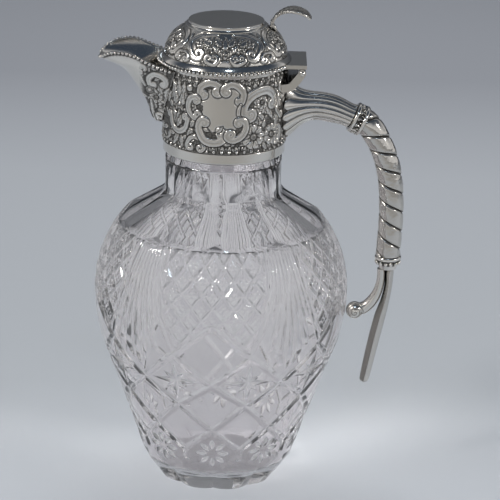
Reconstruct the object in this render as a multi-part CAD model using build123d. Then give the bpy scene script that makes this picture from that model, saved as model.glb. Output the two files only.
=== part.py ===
"""Claret jug: cut-glass body, silver collar with a spout, hinged domed lid and twisted handle.

Millimetres. Z is the jug's axis and points up, with z = 0 where the foot rests. The spout points
along -X, the handle along +X, and the lid turns about a pin parallel to Y. Each height above the
body is a step up from the piece below it, so the mounts follow the glass.
"""
from build123d import *
import os
from math import cos, pi, radians, sin, sqrt

# --- Cut-glass body -------------------------------------------------------------------------------
facet_count = 10              # flutes round the neck and notches round the foot
facet_turn = -92.9            # direction of one ridge between flutes, degrees from +X
foot_radius = 33.5            # where the foot meets the table
foot_flare_radius = 41.6      # top of the tapered foot band
foot_flare_height = 11.5
foot_notch = 0.9              # depth of the notches between the foot's scallops
waist_radius = 48.2           # lower body, between the rosettes and the stars
waist_height = 32.0
flank_radius = 64.4           # where the nearly straight flank turns into the belly
flank_height = 77.0
belly_radius = 70.0           # widest ring of the body
belly_height = 109.0
shoulder_radius = 53.0        # ridge ends on the scalloped shoulder line
shoulder_height = 151.9
shoulder_rise = 12.6          # from the shoulder line up to the neck
neck_corner_radius = 33.0     # ridges of the ten-sided neck
neck_blend = 6.0              # hollow curve between shoulder and neck
neck_height = 20.2
mouth_radius = 31.2           # plain glass ring that the collar is cemented over
mouth_ring_height = 18.3
mouth_bevel = 0.8
bore_radius = 25.6
glass_wall = 6.0              # body wall
glass_base = 11.0             # thickness of the bottom
floor_corner = 4.0            # bevel between the inside floor and the wall

# --- Silver collar --------------------------------------------------------------------------------
collar_radius = 33.6          # outside of the chased wall
collar_wall = 1.2
collar_height = 41.4
base_band_set_in = 0.5        # plain band inside the chased wall
base_band_lift = 3.9          # gap above the glass ledge
base_band_height = 5.9
base_band_roll = 0.4
rim_overhang = 0.6            # bearing ring that the closed lid rests on, beyond the wall
rim_width = 2.1
rim_height = 1.8
rim_slope = 0.9               # height of the slope under the ring's edge
cement_setback = 0.8          # plaster stops this far inside the band
mouth_setback = 1.5           # and this far below the glass mouth

# --- Spout ----------------------------------------------------------------------------------------
spout_wall = 1.1
spout_root_inset = 11.6       # inside the collar, where the two sides are parallel
spout_bluntness = 0.62        # 0.5 is a round nose, 1 a pointed one
# level sections of the outside: height above the collar's foot, reach of the keel beyond the
# collar, half-width at the root
spout_stations = [
    (0.9, -2.0, 1.6),
    (9.5, 4.4, 8.4),
    (18.5, 8.3, 12.9),
    (27.5, 13.3, 16.6),
    (34.5, 18.1, 19.2),
    (39.1, 23.2, 20.8),
    (41.9, 29.4, 21.7),
    (44.1, 34.7, 22.3),
    (52.5, 37.0, 23.2),
]
# the poured edge seen from the side: reach beyond the collar, height above the collar's foot
spout_edge = [(36.0, 42.5), (33.0, 45.9), (28.4, 49.0), (22.4, 50.4), (15.7, 49.8),
              (9.0, 47.1), (2.4, 44.4), (-4.6, 42.2), (-13.6, 41.7)]
spout_bead_radius = 1.0
spout_bead_drop = 0.2         # top of the beaded wire below the poured edge
spout_bead_start = 23.4       # the beaded edge begins at this reach and runs back to the collar
spout_bead_end = -5.6

# --- Lid ------------------------------------------------------------------------------------------
lid_seat_gap = 0.1            # closed lid above the bearing ring
flange_overhang = 1.0         # beyond the bearing ring
flange_edge_height = 2.2
flange_height = 4.5
flange_set_in = 2.0           # from the flange's edge to the dome's foot
flange_roll = 0.9
bezel_clearance = 0.6         # radial, between the locating ring and the bearing ring's bore
bezel_wall = 1.0
bezel_depth = 5.2             # below the bearing ring's top
lid_bead_radius = 1.1
lid_bead_lift = 0.1           # above the middle of the flange's edge
dome_top_radius = 21.9
dome_height = 15.2
# bend of the dome: share of the way in from its foot to its top, share of its height
dome_bend = [(0.09, 0.24), (0.41, 0.66)]
dome_wall = 1.2
dome_hole_radius = 18.0
moulding_step = 0.5           # upright edge under the cove of the plate's moulding
moulding_cove = 0.95          # height of the cove's middle
plate_radius = 20.3
plate_thickness = 1.0
plate_rise = 2.8              # plate's top above the dome's
plate_edge_round = 0.4

# --- Hinge ----------------------------------------------------------------------------------------
hinge_reach = 5.8             # pin's axis beyond the flange's edge
hinge_drop = 2.6              # and below the bearing ring's top
hinge_half_length = 15.2
knuckle_radius = 2.1
knuckle_edges = [3.1, 9.1]    # the moving knuckles lie between these distances from the middle
knuckle_end_gap = 0.12
pin_radius = 1.25
pin_clearance = 0.05          # in the moving knuckles
leaf_thickness = 2.1
leaf_clearance = 0.3          # between the leaf and the fixed knuckles it swings round
leaf_overhang = 2.4           # leaf beyond the pin's axis
leaf_web = 3.0                # neck of metal between the leaf and a moving knuckle
# outline of the bracket from the pin: outwards and up
bracket_outline = [(-6.8, -5.7), (-2.3, 0.0), (0.0, 0.0), (1.3, -2.1), (-1.6, -6.1), (-5.4, -10.2)]
bracket_root = 4.0            # height of the bracket where it enters the collar

# --- Handle ---------------------------------------------------------------------------------------
# the arm's stations start with their distance beyond the collar and height above its foot, the
# lower pieces' with their distance beyond the body's widest ring and height above that; after
# them come direction in degrees, depth in the handle's plane and width across
reed_count = 14
reed_depth = 0.075            # share of the arm's own radius
arm_stations = [
    (-3.1, 14.8, 2, 29.5, 27.0),
    (2.6, 16.7, 5, 25.0, 22.5),
    (9.0, 18.5, 5, 17.8, 18.0),
    (18.4, 18.9, -4, 15.3, 15.6),
    (28.0, 16.7, -16, 14.3, 14.6),
    (35.6, 13.7, -25, 13.6, 13.8),
]
upper_ring_width = 5.8
upper_ring_radius = 8.3
upper_ring_groove = 0.7       # foliage band below the ring's raised edges
ring_edge_radius = 1.0
grip_radius = 6.6
grip_start_radius = 7.3
grip_taper = 0.2              # share of the grip over which it narrows
grip_lobe_shift = 0.55        # each of the two lobes stands this far off the centre line
grip_turns = -4.1             # left-handed twist over the whole grip
grip_sections = 34
# bend of the grip: shares of the way out and of the way down from the upper ring to the lower
grip_bend = [(0.343, 0.066), (0.677, 0.204), (0.896, 0.356), (1.006, 0.521), (1.040, 0.717)]
lower_ring_place = (21.8, 20.4)
lower_ring_height = 8.0
lower_ring_radius = 7.4
lower_ring_edge = 1.25
lower_ring_neck = 6.4         # top of the beaded cone
small_ring_radius = 5.0
small_ring_edge = 0.9
scroll_stations = [
    (18.3, 12.4, -90, 4.4, 5.6),
    (18.0, 3.0, -97, 4.8, 5.7),
    (15.9, -3.6, -113, 5.6, 5.9),
    (12.6, -8.6, -131, 6.4, 6.2),
    (8.4, -11.8, -157, 7.2, 7.0),
]
ball_place = (4.6, -12.8)
ball_radius = 4.9
tail_stations = [
    (23.1, 12.4, -90, 4.9, 7.2),
    (22.7, 2.5, -94, 4.2, 7.2),
    (21.2, -6.6, -101, 4.3, 7.2),
    (18.8, -16.0, -104, 5.7, 7.2),
    (15.3, -33.0, -101, 5.9, 7.0),
    (11.5, -53.0, -101, 5.2, 6.0),
]
tail_bulge = 0.64             # 0.5 is a flat side between two ridges, 0.71 a round one
tail_tip_length = 2.6         # rounded end beyond the last station

# --- Thumbpiece -----------------------------------------------------------------------------------
thumb_thickness = 1.5
thumb_width = 14.0
thumb_widest = 0.62           # share of its length at which the leaf is widest
thumb_root_half = 2.2
# centre line of the leaf from the dome's top edge: outwards and up
thumb_line = [(2.7, 1.1), (4.7, 5.3), (8.9, 8.1), (14.5, 8.7), (19.5, 7.3), (23.1, 4.4)]
# stem that carries it: the same way, from the dome's side up to the leaf's root
thumb_stem = [(0.7, -6.5), (5.9, -6.5), (5.5, -2.9), (3.5, 1.5), (3.3, 2.7), (1.7, 2.7), (1.3, -1.0)]

# --- Places that follow from the sizes above ------------------------------------------------------
half_angle = pi / facet_count
neck_bottom = shoulder_height + shoulder_rise
neck_top = neck_bottom + neck_height
mouth_height = neck_top + mouth_ring_height
base_band_bottom = neck_top + base_band_lift
collar_bottom = base_band_bottom + base_band_height
collar_top = collar_bottom + collar_height
collar_bore = collar_radius - collar_wall
base_band_radius = collar_radius - base_band_set_in
rim_radius = collar_radius + rim_overhang
rim_bore = rim_radius - rim_width
rim_top = collar_top + rim_height
flange_radius = rim_radius + flange_overhang
flange_bottom = rim_top + lid_seat_gap
flange_edge_top = flange_bottom + flange_edge_height
flange_top = flange_bottom + flange_height
bezel_radius = rim_bore - bezel_clearance
dome_foot_radius = flange_radius - flange_set_in
dome_top = flange_top + dome_height
plate_top = dome_top + plate_rise
hinge_x = flange_radius + hinge_reach
hinge_height = rim_top - hinge_drop
spout_root = spout_root_inset - collar_radius
far = 3 * belly_radius        # beyond every surface, for cutters


# --- Shared helpers -------------------------------------------------------------------------------
def turned(*lines):
    """Solid of revolution about the jug's axis, from lines drawn as (radius, height)."""
    return revolve(make_face(Plane.XZ * Curve(lines)), axis=Axis.Z)


def ring(inner, outer, bottom, top):
    height = top - bottom
    tube = Cylinder(outer, height) - Cylinder(inner, height + 1)
    return Pos(0, 0, (bottom + top) / 2) * tube


def column(radius, bottom, top):
    return Pos(0, 0, (bottom + top) / 2) * Cylinder(radius, top - bottom)


def slab(x_from, x_to, half_width, bottom, top):
    """Block centred on the handle's plane."""
    block = Box(x_to - x_from, 2 * half_width, top - bottom)
    return Pos((x_from + x_to) / 2, 0, (bottom + top) / 2) * block


def across(face, half_width):
    """Face drawn as (x, height), made solid to both sides of the handle's plane."""
    return extrude(Plane.XZ * face, amount=half_width, both=True)


def disc_with_round_edge(radius, edge_radius):
    flat = radius - edge_radius
    return Torus(flat, edge_radius) + Cylinder(flat, 2 * edge_radius)


def beside_collar(out, up):
    """(x, height) of a point given from the foot of the collar's wall."""
    return collar_radius + out, collar_bottom + up


def beside_belly(out, up):
    """(x, height) of a point given from the body's widest ring."""
    return belly_radius + out, belly_height + up


def handle_plane(x, height, direction):
    """Plane square to a direction in the handle's plane; its local x runs across the jug."""
    a = radians(direction)
    return Plane(origin=(x, 0, height), x_dir=(0, 1, 0), z_dir=(cos(a), 0, sin(a)))


def largest(shape):
    return max(shape.solids(), key=lambda s: s.volume)


# --- Glass ----------------------------------------------------------------------------------------
def wall_lines(inset, bottom):
    """Three arcs up the body's wall, moved inwards, from a bottom point to the shoulder."""
    flank = (flank_radius - inset, flank_height)
    belly = (belly_radius - inset, belly_height)
    shoulder = (shoulder_radius + 1.6 - 0.75 * inset, shoulder_height - 1.2 - 0.65 * inset)
    lower = ThreePointArc(bottom, (waist_radius - inset, waist_height), flank)
    below_belly = TangentArc(belly, flank, tangent=(0, -1))
    above_belly = TangentArc(belly, shoulder, tangent=(0, 1))
    return [lower, below_belly, above_belly], shoulder


def panel_cutter():
    """Everything outside one flute: flat across, and following the neck and shoulder upwards."""
    flat = cos(half_angle)
    neck_flat = neck_corner_radius * flat
    shoulder_flat = shoulder_radius * flat
    below_shoulder = (shoulder_flat + 5.5, shoulder_height - 2.0)
    flute = FilletPolyline(
        (neck_flat, neck_top),
        (neck_flat, neck_bottom),
        (shoulder_flat, shoulder_height),
        radius=neck_blend,
    )
    edges = Polyline(
        (shoulder_flat, shoulder_height),
        below_shoulder,
        (far, below_shoulder[1]),
        (far, neck_top),
        (neck_flat, neck_top),
    )
    return across(make_face(Curve([flute, edges])), shoulder_radius * sin(half_angle) + 4)


def foot_notch_cutter():
    """Square bar laid edge-inwards along the slope of the foot."""
    spare = 3
    slope = Vector(foot_flare_radius - foot_radius, 0, foot_flare_height)
    start = Vector(foot_radius, 0, 0) - slope.normalized() * spare
    plane = Plane(origin=start, x_dir=(0, 1, 0), z_dir=slope)
    side = 2 * sqrt(2) * foot_notch
    return plane * extrude(Rot(0, 0, 45) * Rectangle(side, side), amount=slope.length + 2 * spare)


def glass_cavity():
    floor_edge = foot_flare_radius - glass_wall
    side, shoulder = wall_lines(glass_wall, (floor_edge, glass_base + floor_corner))
    edges = Polyline(
        shoulder,
        (bore_radius, neck_bottom - 1.5),
        (bore_radius, mouth_height + 1),
        (0, mouth_height + 1),
        (0, glass_base),
        (floor_edge - floor_corner, glass_base),
        (floor_edge, glass_base + floor_corner),
    )
    return turned(*side, edges)


def glass_body():
    """Blown and cut body: turned stock, ten flutes over neck and shoulder, notches in the foot."""
    stock = 0.5               # round stock left outside the ridges, which the flutes remove
    side, shoulder = wall_lines(0, (foot_flare_radius, foot_flare_height))
    edges = Polyline(
        shoulder,
        (shoulder[0], shoulder_height + 3),
        (neck_corner_radius + 6 + stock, neck_bottom + 2),
        (neck_corner_radius + stock, neck_bottom + 10),
        (neck_corner_radius + stock, neck_top),
        (mouth_radius, neck_top),
        (mouth_radius, mouth_height - mouth_bevel),
        (mouth_radius - mouth_bevel, mouth_height),
        (0, mouth_height),
        (0, 0),
        (foot_radius, 0),
        (foot_flare_radius, foot_flare_height),
    )
    body = turned(*side, edges)
    flute = panel_cutter()
    notch = foot_notch_cutter()
    for k in range(facet_count):
        ridge = facet_turn + k * 360 / facet_count
        body -= Rot(0, 0, ridge + 180 / facet_count) * flute
        body -= Rot(0, 0, ridge) * notch
    return largest(body - glass_cavity())


# --- Collar ---------------------------------------------------------------------------------------
def neck_cement():
    return ring(mouth_radius, collar_bore, base_band_bottom + cement_setback, mouth_height - mouth_setback)


def collar_base_band():
    outline = Polyline(
        (collar_bore, base_band_bottom),
        (base_band_radius - base_band_roll, base_band_bottom),
        (base_band_radius, base_band_bottom + base_band_roll),
        (base_band_radius, collar_bottom),
        (collar_bore, collar_bottom),
        (collar_bore, base_band_bottom),
    )
    return turned(outline)


def collar_shell():
    """Chased wall, open where the spout leads out of it."""
    shell = ring(collar_bore, collar_radius, collar_bottom, collar_top)
    return largest(shell - spout_hull(spout_wall))


def collar_rim():
    outline = Polyline(
        (collar_bore, collar_top),
        (collar_radius, collar_top),
        (rim_radius, collar_top + rim_slope),
        (rim_radius, rim_top),
        (rim_bore, rim_top),
        (rim_bore, collar_top),
        (collar_bore, collar_top),
    )
    return largest(turned(outline) - spout_hull(spout_wall))


# --- Spout ----------------------------------------------------------------------------------------
def spout_half_width(x, tip, root_half_width):
    """Half-width of a level section at x: blunt at the tip and parallel at the root."""
    reach = (x - spout_root) / (tip - spout_root)
    return root_half_width * max(1 - reach * reach, 0) ** spout_bluntness


def spout_section(height, tip, root_half_width):
    side = []
    for share in (0.45, 0.75, 0.93):
        x = spout_root + share * (tip - spout_root)
        side.append((x, spout_half_width(x, tip, root_half_width)))
    points = [(spout_root, root_half_width)] + side + [(tip, 0)]
    points += [(x, -y) for x, y in reversed(side)] + [(spout_root, -root_half_width)]
    outline = Spline(*points, tangents=[(-1, 0), (1, 0)])
    closing = Line((spout_root, -root_half_width), (spout_root, root_half_width))
    return Pos(0, 0, height) * make_face(Curve([outline, closing]))


def spout_hull(inset):
    """Full body of the spout; with an inset, the hollow inside its wall."""
    keel_slope = 1.2          # raises the hollow so that the wall keeps its thickness on the keel
    least_half_width = 0.5
    sections = []
    for up, out, half_width in spout_stations:
        height = collar_bottom + up + keel_slope * inset
        tip = -(collar_radius + out) + inset
        sections.append(spout_section(height, tip, max(half_width - inset, least_half_width)))
    return loft(sections)


def spout_edge_line():
    return [(-(collar_radius + out), collar_bottom + up) for out, up in spout_edge]


def spout_edge_cutter():
    """Everything above the poured edge."""
    line = spout_edge_line()
    first, last = line[0], line[-1]
    beyond = first[0] - 8
    top = collar_bottom + spout_stations[-1][0] + 5
    closing = Polyline(last, (last[0], top), (beyond, top), (beyond, first[1]), first)
    return across(make_face(Curve([Spline(*line), closing])), far)


def spout():
    shell = spout_hull(0) - spout_hull(spout_wall) - spout_edge_cutter()
    shell -= column(collar_radius, 0, far + plate_top) + column(rim_radius, collar_top, far + plate_top)
    return largest(shell)


def spout_beading():
    """Half-round wire outside the poured edge, one length on each side."""
    (low_up, low_out, low_half), (high_up, _, high_half) = spout_stations[-2:]
    low_height = collar_bottom + low_up
    flare = (high_half - low_half) / (high_up - low_up)
    lean = 1.2                # the wall leans out this far between the wire and the next section
    tip = -(collar_radius + low_out) - lean
    path = []
    for (out, _), (x, height) in zip(spout_edge, spout_edge_line()):
        if spout_bead_end < out < spout_bead_start:
            grown = low_half + (height - low_height) * flare
            y = -spout_half_width(x, tip, grown)
            path.append((x, y, height - spout_bead_radius - spout_bead_drop))
    line = Spline(*path)
    wire = sweep(Plane(line @ 0, z_dir=line % 0) * Circle(spout_bead_radius), path=line)
    hull = spout_hull(0)
    sides = []
    for one in (wire, mirror(wire, about=Plane.XZ)):
        sides.append(largest(one - hull - column(rim_radius, 0, far + plate_top)))
    return Compound(sides)


# --- Lid ------------------------------------------------------------------------------------------
def lid_flange():
    foot = (dome_foot_radius + 0.3, flange_top)
    roll = ThreePointArc(
        (flange_radius, flange_edge_top),
        (flange_radius - flange_roll, flange_top - flange_roll),
        foot,
    )
    edges = Polyline(
        foot,
        (bezel_radius, flange_top),
        (bezel_radius, flange_bottom),
        (flange_radius, flange_bottom),
        (flange_radius, flange_edge_top),
    )
    return turned(roll, edges)


def lid_beading():
    """Beaded wire round the lid's edge, left out where the hinge leaf joins it."""
    middle = (flange_bottom + flange_edge_top) / 2 + lid_bead_lift
    wire = Pos(0, 0, middle) * Torus(flange_radius + 0.1, lid_bead_radius)
    wire -= column(flange_radius, 0, far + plate_top)
    leaf_gap = 0.05
    wire -= slab(0, far, hinge_half_length + leaf_gap, flange_bottom - 5, flange_top + 5)
    return largest(wire)


def lid_bezel():
    return ring(bezel_radius - bezel_wall, bezel_radius, rim_top - bezel_depth, flange_top)


def dome_curve(inset):
    """Line of the dome from its foot to its flat top, moved inwards by the inset."""
    foot = (dome_foot_radius - inset, flange_top)
    top = (dome_top_radius - 0.2 * inset, dome_top - inset)
    bend = []
    for way_in, way_up in dome_bend:
        bend.append((foot[0] + way_in * (top[0] - foot[0]), foot[1] + way_up * (top[1] - foot[1])))
    return Spline(foot, *bend, top, tangents=[(0, 1), (-1, 0.42)])


def lid_dome():
    outside = dome_curve(0)
    inside = dome_curve(dome_wall)
    top = Polyline(
        outside @ 1,
        (dome_hole_radius, dome_top),
        (dome_hole_radius, dome_top - dome_wall),
        inside @ 1,
    )
    foot = Line(inside @ 0, outside @ 0)
    return turned(outside, top, inside, foot)


def lid_plate_moulding():
    seat = plate_top - plate_thickness
    cove = ThreePointArc(
        (dome_top_radius, dome_top + moulding_step),
        (plate_radius + 0.25, dome_top + moulding_cove),
        (plate_radius, seat),
    )
    edges = Polyline(
        (plate_radius, seat),
        (dome_hole_radius, seat),
        (dome_hole_radius, dome_top),
        (dome_top_radius, dome_top),
        (dome_top_radius, dome_top + moulding_step),
    )
    return turned(cove, edges)


def lid_plate():
    disc = column(plate_radius, plate_top - plate_thickness, plate_top)
    return fillet(disc.edges().sort_by(Axis.Z)[-1], plate_edge_round)


def thumbpiece():
    """Cast leaf that rises from the dome and curls back over the hinge."""
    line = [(dome_top_radius + out, dome_top + up) for out, up in thumb_line]
    strip = across(trace(Spline(*line), line_width=thumb_thickness), thumb_width)
    leaf_root, leaf_tip = line[0][0] - 2, line[-1][0] + 1.2
    middle = leaf_root + thumb_widest * (leaf_tip - leaf_root)
    outline = Spline(
        (leaf_root, thumb_root_half),
        (leaf_root + 6, 1.55 * thumb_root_half),
        (middle, thumb_width / 2),
        (leaf_tip, 0),
        tangents=[(1, 0), (0, -1)],
    )
    root_edge = Line((leaf_root, -thumb_root_half), (leaf_root, thumb_root_half))
    plan = make_face(Curve([outline, mirror(outline, about=Plane.XZ), root_edge]))
    leaf = strip & Pos(0, 0, flange_top) * extrude(plan, amount=far)
    stem_outline = [(dome_top_radius + out, dome_top + up) for out, up in thumb_stem]
    stem = across(make_face(Polyline(*stem_outline, close=True)), thumb_root_half)
    dome = turned(dome_curve(0), Polyline((dome_top_radius, dome_top), (0, dome_top), (0, flange_top),
                                          (dome_foot_radius, flange_top)))
    moulding = column(dome_top_radius, dome_top, plate_top)
    return largest(leaf + stem - dome - moulding)


# --- Hinge ----------------------------------------------------------------------------------------
def knuckle_spans(moving, end_gap):
    """(from, to) along Y of each knuckle of one side of the hinge."""
    inner, outer = knuckle_edges
    if moving:
        spans = [(-outer, -inner), (inner, outer)]
    else:
        spans = [(-hinge_half_length, -outer), (-inner, inner), (outer, hinge_half_length)]
    return [(start + end_gap / 2, end - end_gap / 2) for start, end in spans]


def hinge_rod(radius, start, end):
    rod = Rot(-90, 0, 0) * Cylinder(radius, end - start)
    return Pos(hinge_x, (start + end) / 2, hinge_height) * rod


def hinge_pin():
    return hinge_rod(pin_radius, -hinge_half_length, hinge_half_length)


def hinge_bracket():
    """Bent plate soldered to the collar, ending in the three fixed knuckles."""
    bend = [(hinge_x + out, hinge_height + up) for out, up in bracket_outline]
    inside = collar_radius - 5.6
    foot = bend[-1][1] - 0.5
    outline = Polyline((inside, foot + bracket_root), *bend, (inside, foot), close=True)
    plate = across(make_face(outline), hinge_half_length)
    for start, end in knuckle_spans(False, knuckle_end_gap):
        plate += hinge_rod(knuckle_radius, start, end)
    room = knuckle_radius + leaf_clearance
    for start, end in knuckle_spans(True, -knuckle_end_gap):
        plate -= hinge_rod(room, start, end)
    plate -= hinge_rod(pin_radius, -far, far)
    plate -= column(collar_radius, 0, far + plate_top)
    return largest(plate - handle_arm())


def hinge_leaf():
    """Flat plate on the lid's edge with the two moving knuckles under it."""
    bottom = hinge_height + knuckle_radius + leaf_clearance
    leaf = slab(flange_radius / 2, hinge_x + leaf_overhang, hinge_half_length, bottom, bottom + leaf_thickness)
    leaf -= column(flange_radius, 0, far + plate_top)
    for start, end in knuckle_spans(True, knuckle_end_gap):
        leaf += hinge_rod(knuckle_radius, start, end)
        web = Box(leaf_web, end - start, bottom - hinge_height + 0.5)
        leaf += Pos(hinge_x, (start + end) / 2, (bottom + hinge_height + 0.5) / 2) * web
    return largest(leaf - hinge_rod(pin_radius + pin_clearance, -far, far))


# --- Handle ---------------------------------------------------------------------------------------
def lobed_face(half_x, half_y, lobes, depth):
    """Closed outline of round lobes on an ellipse, meeting in sharp valleys."""
    arcs = []
    for k in range(lobes):
        points = []
        for step, scale in ((-0.5, 1 - depth), (0, 1), (0.5, 1 - depth)):
            t = 2 * pi * (k + step) / lobes
            points.append((half_x * scale * cos(t), half_y * scale * sin(t)))
        arcs.append(ThreePointArc(*points))
    return make_face(Curve(arcs))


def handle_arm():
    """Reeded arm that flares out of the collar."""
    sections = []
    for out, up, direction, depth, width in arm_stations:
        face = lobed_face(width / 2, depth / 2, reed_count, reed_depth)
        sections.append(handle_plane(*beside_collar(out, up), direction) * face)
    return largest(loft(sections) - column(collar_radius, 0, far + plate_top))


def ring_plane():
    """Middle of the upper ring, square to the handle's line."""
    out, up, direction = arm_stations[-1][:3]
    x, height = beside_collar(out, up)
    a = radians(direction)
    reach = upper_ring_width / 2
    return handle_plane(x + reach * cos(a), height + reach * sin(a), direction)


def handle_upper_ring():
    """Band between two raised edges, carrying the foliage."""
    spool = Cylinder(upper_ring_radius - upper_ring_groove, upper_ring_width - 2 * ring_edge_radius)
    for side in (-1, 1):
        reach = side * (upper_ring_width / 2 - ring_edge_radius)
        spool += Pos(0, 0, reach) * disc_with_round_edge(upper_ring_radius, ring_edge_radius)
    return ring_plane() * largest(spool)


def grip_centre_line():
    a = radians(arm_stations[-1][2])
    middle = ring_plane().origin
    half = upper_ring_width / 2
    start = (middle.X + half * cos(a), middle.Z + half * sin(a))
    end = beside_belly(*lower_ring_place)
    bend = []
    for way_out, way_down in grip_bend:
        bend.append((start[0] + way_out * (end[0] - start[0]), start[1] + way_down * (end[1] - start[1])))
    return Plane.XZ * Spline(start, *bend, end, tangents=[(cos(a), sin(a)), (0, -1)])


def two_lobes(radius):
    """Section of the grip: two overlapping circles."""
    lobe = radius - grip_lobe_shift
    waist = sqrt(lobe ** 2 - grip_lobe_shift ** 2)
    halves = []
    for side in (-1, 1):
        halves.append(ThreePointArc((0, -side * waist), (side * radius, 0), (0, side * waist)))
    return make_face(Curve(halves))


def handle_grip():
    """Two lobes twisted round the handle's line."""
    line = grip_centre_line()
    sections = []
    for k in range(grip_sections):
        share = k / (grip_sections - 1)
        swell = (grip_start_radius - grip_radius) * max(1 - share / grip_taper, 0)
        plane = Plane(origin=line @ share, x_dir=(0, 1, 0), z_dir=line % share)
        sections.append(plane * Rot(0, 0, 360 * grip_turns * share) * two_lobes(grip_radius + swell))
    return largest(loft(sections) - handle_upper_ring())


def handle_lower_ring():
    """Large and small raised edges with a beaded cone between them."""
    spool = Pos(0, 0, -lower_ring_edge) * disc_with_round_edge(lower_ring_radius, lower_ring_edge)
    cone = Cone(small_ring_radius, lower_ring_neck, lower_ring_height - 2 * small_ring_edge)
    spool += Pos(0, 0, -lower_ring_height / 2) * cone
    foot = disc_with_round_edge(small_ring_radius, small_ring_edge)
    spool += Pos(0, 0, small_ring_edge - lower_ring_height) * foot
    x, height = beside_belly(*lower_ring_place)
    return Pos(x, 0, height) * largest(spool)


def handle_scroll():
    """Short branch that curls inwards and ends in a ball clear of the glass."""
    sections = []
    for out, up, direction, depth, width in scroll_stations:
        sections.append(handle_plane(*beside_belly(out, up), direction) * Ellipse(width / 2, depth / 2))
    x, height = beside_belly(*ball_place)
    branch = loft(sections) + Pos(x, 0, height) * Sphere(ball_radius)
    return largest(branch - handle_tail())


def ridged_face(width, depth):
    """Four shallow arcs that meet in a ridge on each side."""
    corners = [(width / 2, 0), (0, depth / 2), (-width / 2, 0), (0, -depth / 2)]
    arcs = []
    for k in range(4):
        a, b = corners[k], corners[(k + 1) % 4]
        middle = ((a[0] + b[0]) * tail_bulge, (a[1] + b[1]) * tail_bulge)
        arcs.append(ThreePointArc(a, middle, b))
    return make_face(Curve(arcs))


def handle_tail():
    """Long tapered leaf that runs on below the branch, with a ridge down each side."""
    sections = []
    for out, up, direction, depth, width in tail_stations:
        plane = handle_plane(*beside_belly(out, up), direction)
        sections.append(plane * ridged_face(width, depth))
    round_share = tail_bulge * sqrt(2) / 2     # of the last section's half sizes
    tip = scale(Sphere(1), by=(round_share * width, round_share * depth, tail_tip_length))
    return largest(loft(sections) + plane * tip)


# --- Build ----------------------------------------------------------------------------------------
makers = {
    "glass_body": glass_body,
    "neck_cement": neck_cement,
    "collar_base_band": collar_base_band,
    "collar_shell": collar_shell,
    "collar_rim": collar_rim,
    "spout": spout,
    "spout_beading": spout_beading,
    "handle_arm": handle_arm,
    "handle_upper_ring": handle_upper_ring,
    "handle_grip": handle_grip,
    "handle_lower_ring": handle_lower_ring,
    "handle_scroll": handle_scroll,
    "handle_tail": handle_tail,
    "hinge_bracket": hinge_bracket,
    "hinge_pin": hinge_pin,
    "hinge_leaf": hinge_leaf,
    "lid_flange": lid_flange,
    "lid_beading": lid_beading,
    "lid_bezel": lid_bezel,
    "lid_dome": lid_dome,
    "lid_plate_moulding": lid_plate_moulding,
    "lid_plate": lid_plate,
    "thumbpiece": thumbpiece,
}

os.makedirs("parts", exist_ok=True)
for name, make in makers.items():
    export_step(make(), f"parts/{name}.step")
    print(name)
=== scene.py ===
"""Looks of the claret jug: cut crystal, chased and polished silver, on a pale sweep.

Sizes here are millimetres in the jug's own frame, where Z is its axis and the spout points along
-X; MM turns them into Blender's metres. Angles of the glass pattern are degrees round the axis from
the middle of the arch that faces the camera.
"""

from math import atan2, cos, degrees, hypot, pi, radians, sin

import bpy
import numpy as np
from mathutils import Matrix, Vector
from mathutils.bvhtree import BVHTree


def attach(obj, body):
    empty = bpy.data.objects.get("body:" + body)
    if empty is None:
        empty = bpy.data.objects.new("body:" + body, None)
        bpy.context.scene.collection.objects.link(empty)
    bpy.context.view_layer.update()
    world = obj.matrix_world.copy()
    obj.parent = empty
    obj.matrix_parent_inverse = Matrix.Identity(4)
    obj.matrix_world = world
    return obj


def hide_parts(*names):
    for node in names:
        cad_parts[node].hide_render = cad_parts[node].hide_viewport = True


MM = 0.001
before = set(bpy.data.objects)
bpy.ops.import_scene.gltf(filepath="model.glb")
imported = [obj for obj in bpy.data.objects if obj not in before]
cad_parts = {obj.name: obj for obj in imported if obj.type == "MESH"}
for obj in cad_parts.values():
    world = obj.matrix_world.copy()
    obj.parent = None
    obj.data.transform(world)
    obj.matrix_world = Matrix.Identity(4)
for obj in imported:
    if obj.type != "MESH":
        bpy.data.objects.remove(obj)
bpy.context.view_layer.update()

# --- Camera, measured from the photograph ---------------------------------------------------------
camera_target = (15.6, 0.0, 130.0)
camera_distance = 1300.0
camera_elevation = 19.31      # degrees above level, looking along +Y
camera_roll = 1.43            # clockwise turn of the picture's content
camera_lens = 169.56          # for a 36 mm sensor

# --- Glass body, the same sizes as its CAD node ----------------------------------------------------
facet_count = 10
facet_turn = -92.9            # one ridge between flutes, degrees from +X
foot_radius = 33.5
foot_flare = (41.6, 11.5)     # (radius, height)
waist = (48.2, 32.0)
flank = (64.4, 77.0)
belly = (70.0, 109.0)
shoulder_edge = (54.6, 150.7)
shoulder_radius = 53.0
shoulder_height = 151.9
flute_reach = 6.0             # how far below it the flats may run out into the belly
neck_corner_radius = 33.0
neck_bottom = 164.5
neck_top = 184.7
neck_blend = 6.0
neck_blend_share = 0.42       # half of the blend's height as a share of it
neck_roundness = 0.6          # how far the neck's flats are polished towards a circle
mouth_radius = 31.2
mouth_height = 203.0
mouth_bevel = 0.8
centre_hole = 1.0             # the two floors are closed by flat caps of this radius
bore_radius = 25.6
glass_wall = 6.0
glass_base = 11.0
floor_corner = 4.0
floor_bevel = 1.2
throat = [(0.0, 2.0), (0.6, -1.8), (2.2, -3.6)]    # (beyond the bore, above the neck's bottom) inside
inner_shoulder = (1.6, 1.2)   # the wall's middle line at the shoulder, (beyond, below) the outer edge
inner_shoulder_wall = (0.75, 0.65)                 # and the share of the wall inside it, (across, down)

# --- Cut pattern of the glass ----------------------------------------------------------------------
glass_columns = 1080
glass_row_step = 0.4
shoulder_rows = 70
neck_rows = 12
bore_rows = 60
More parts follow.
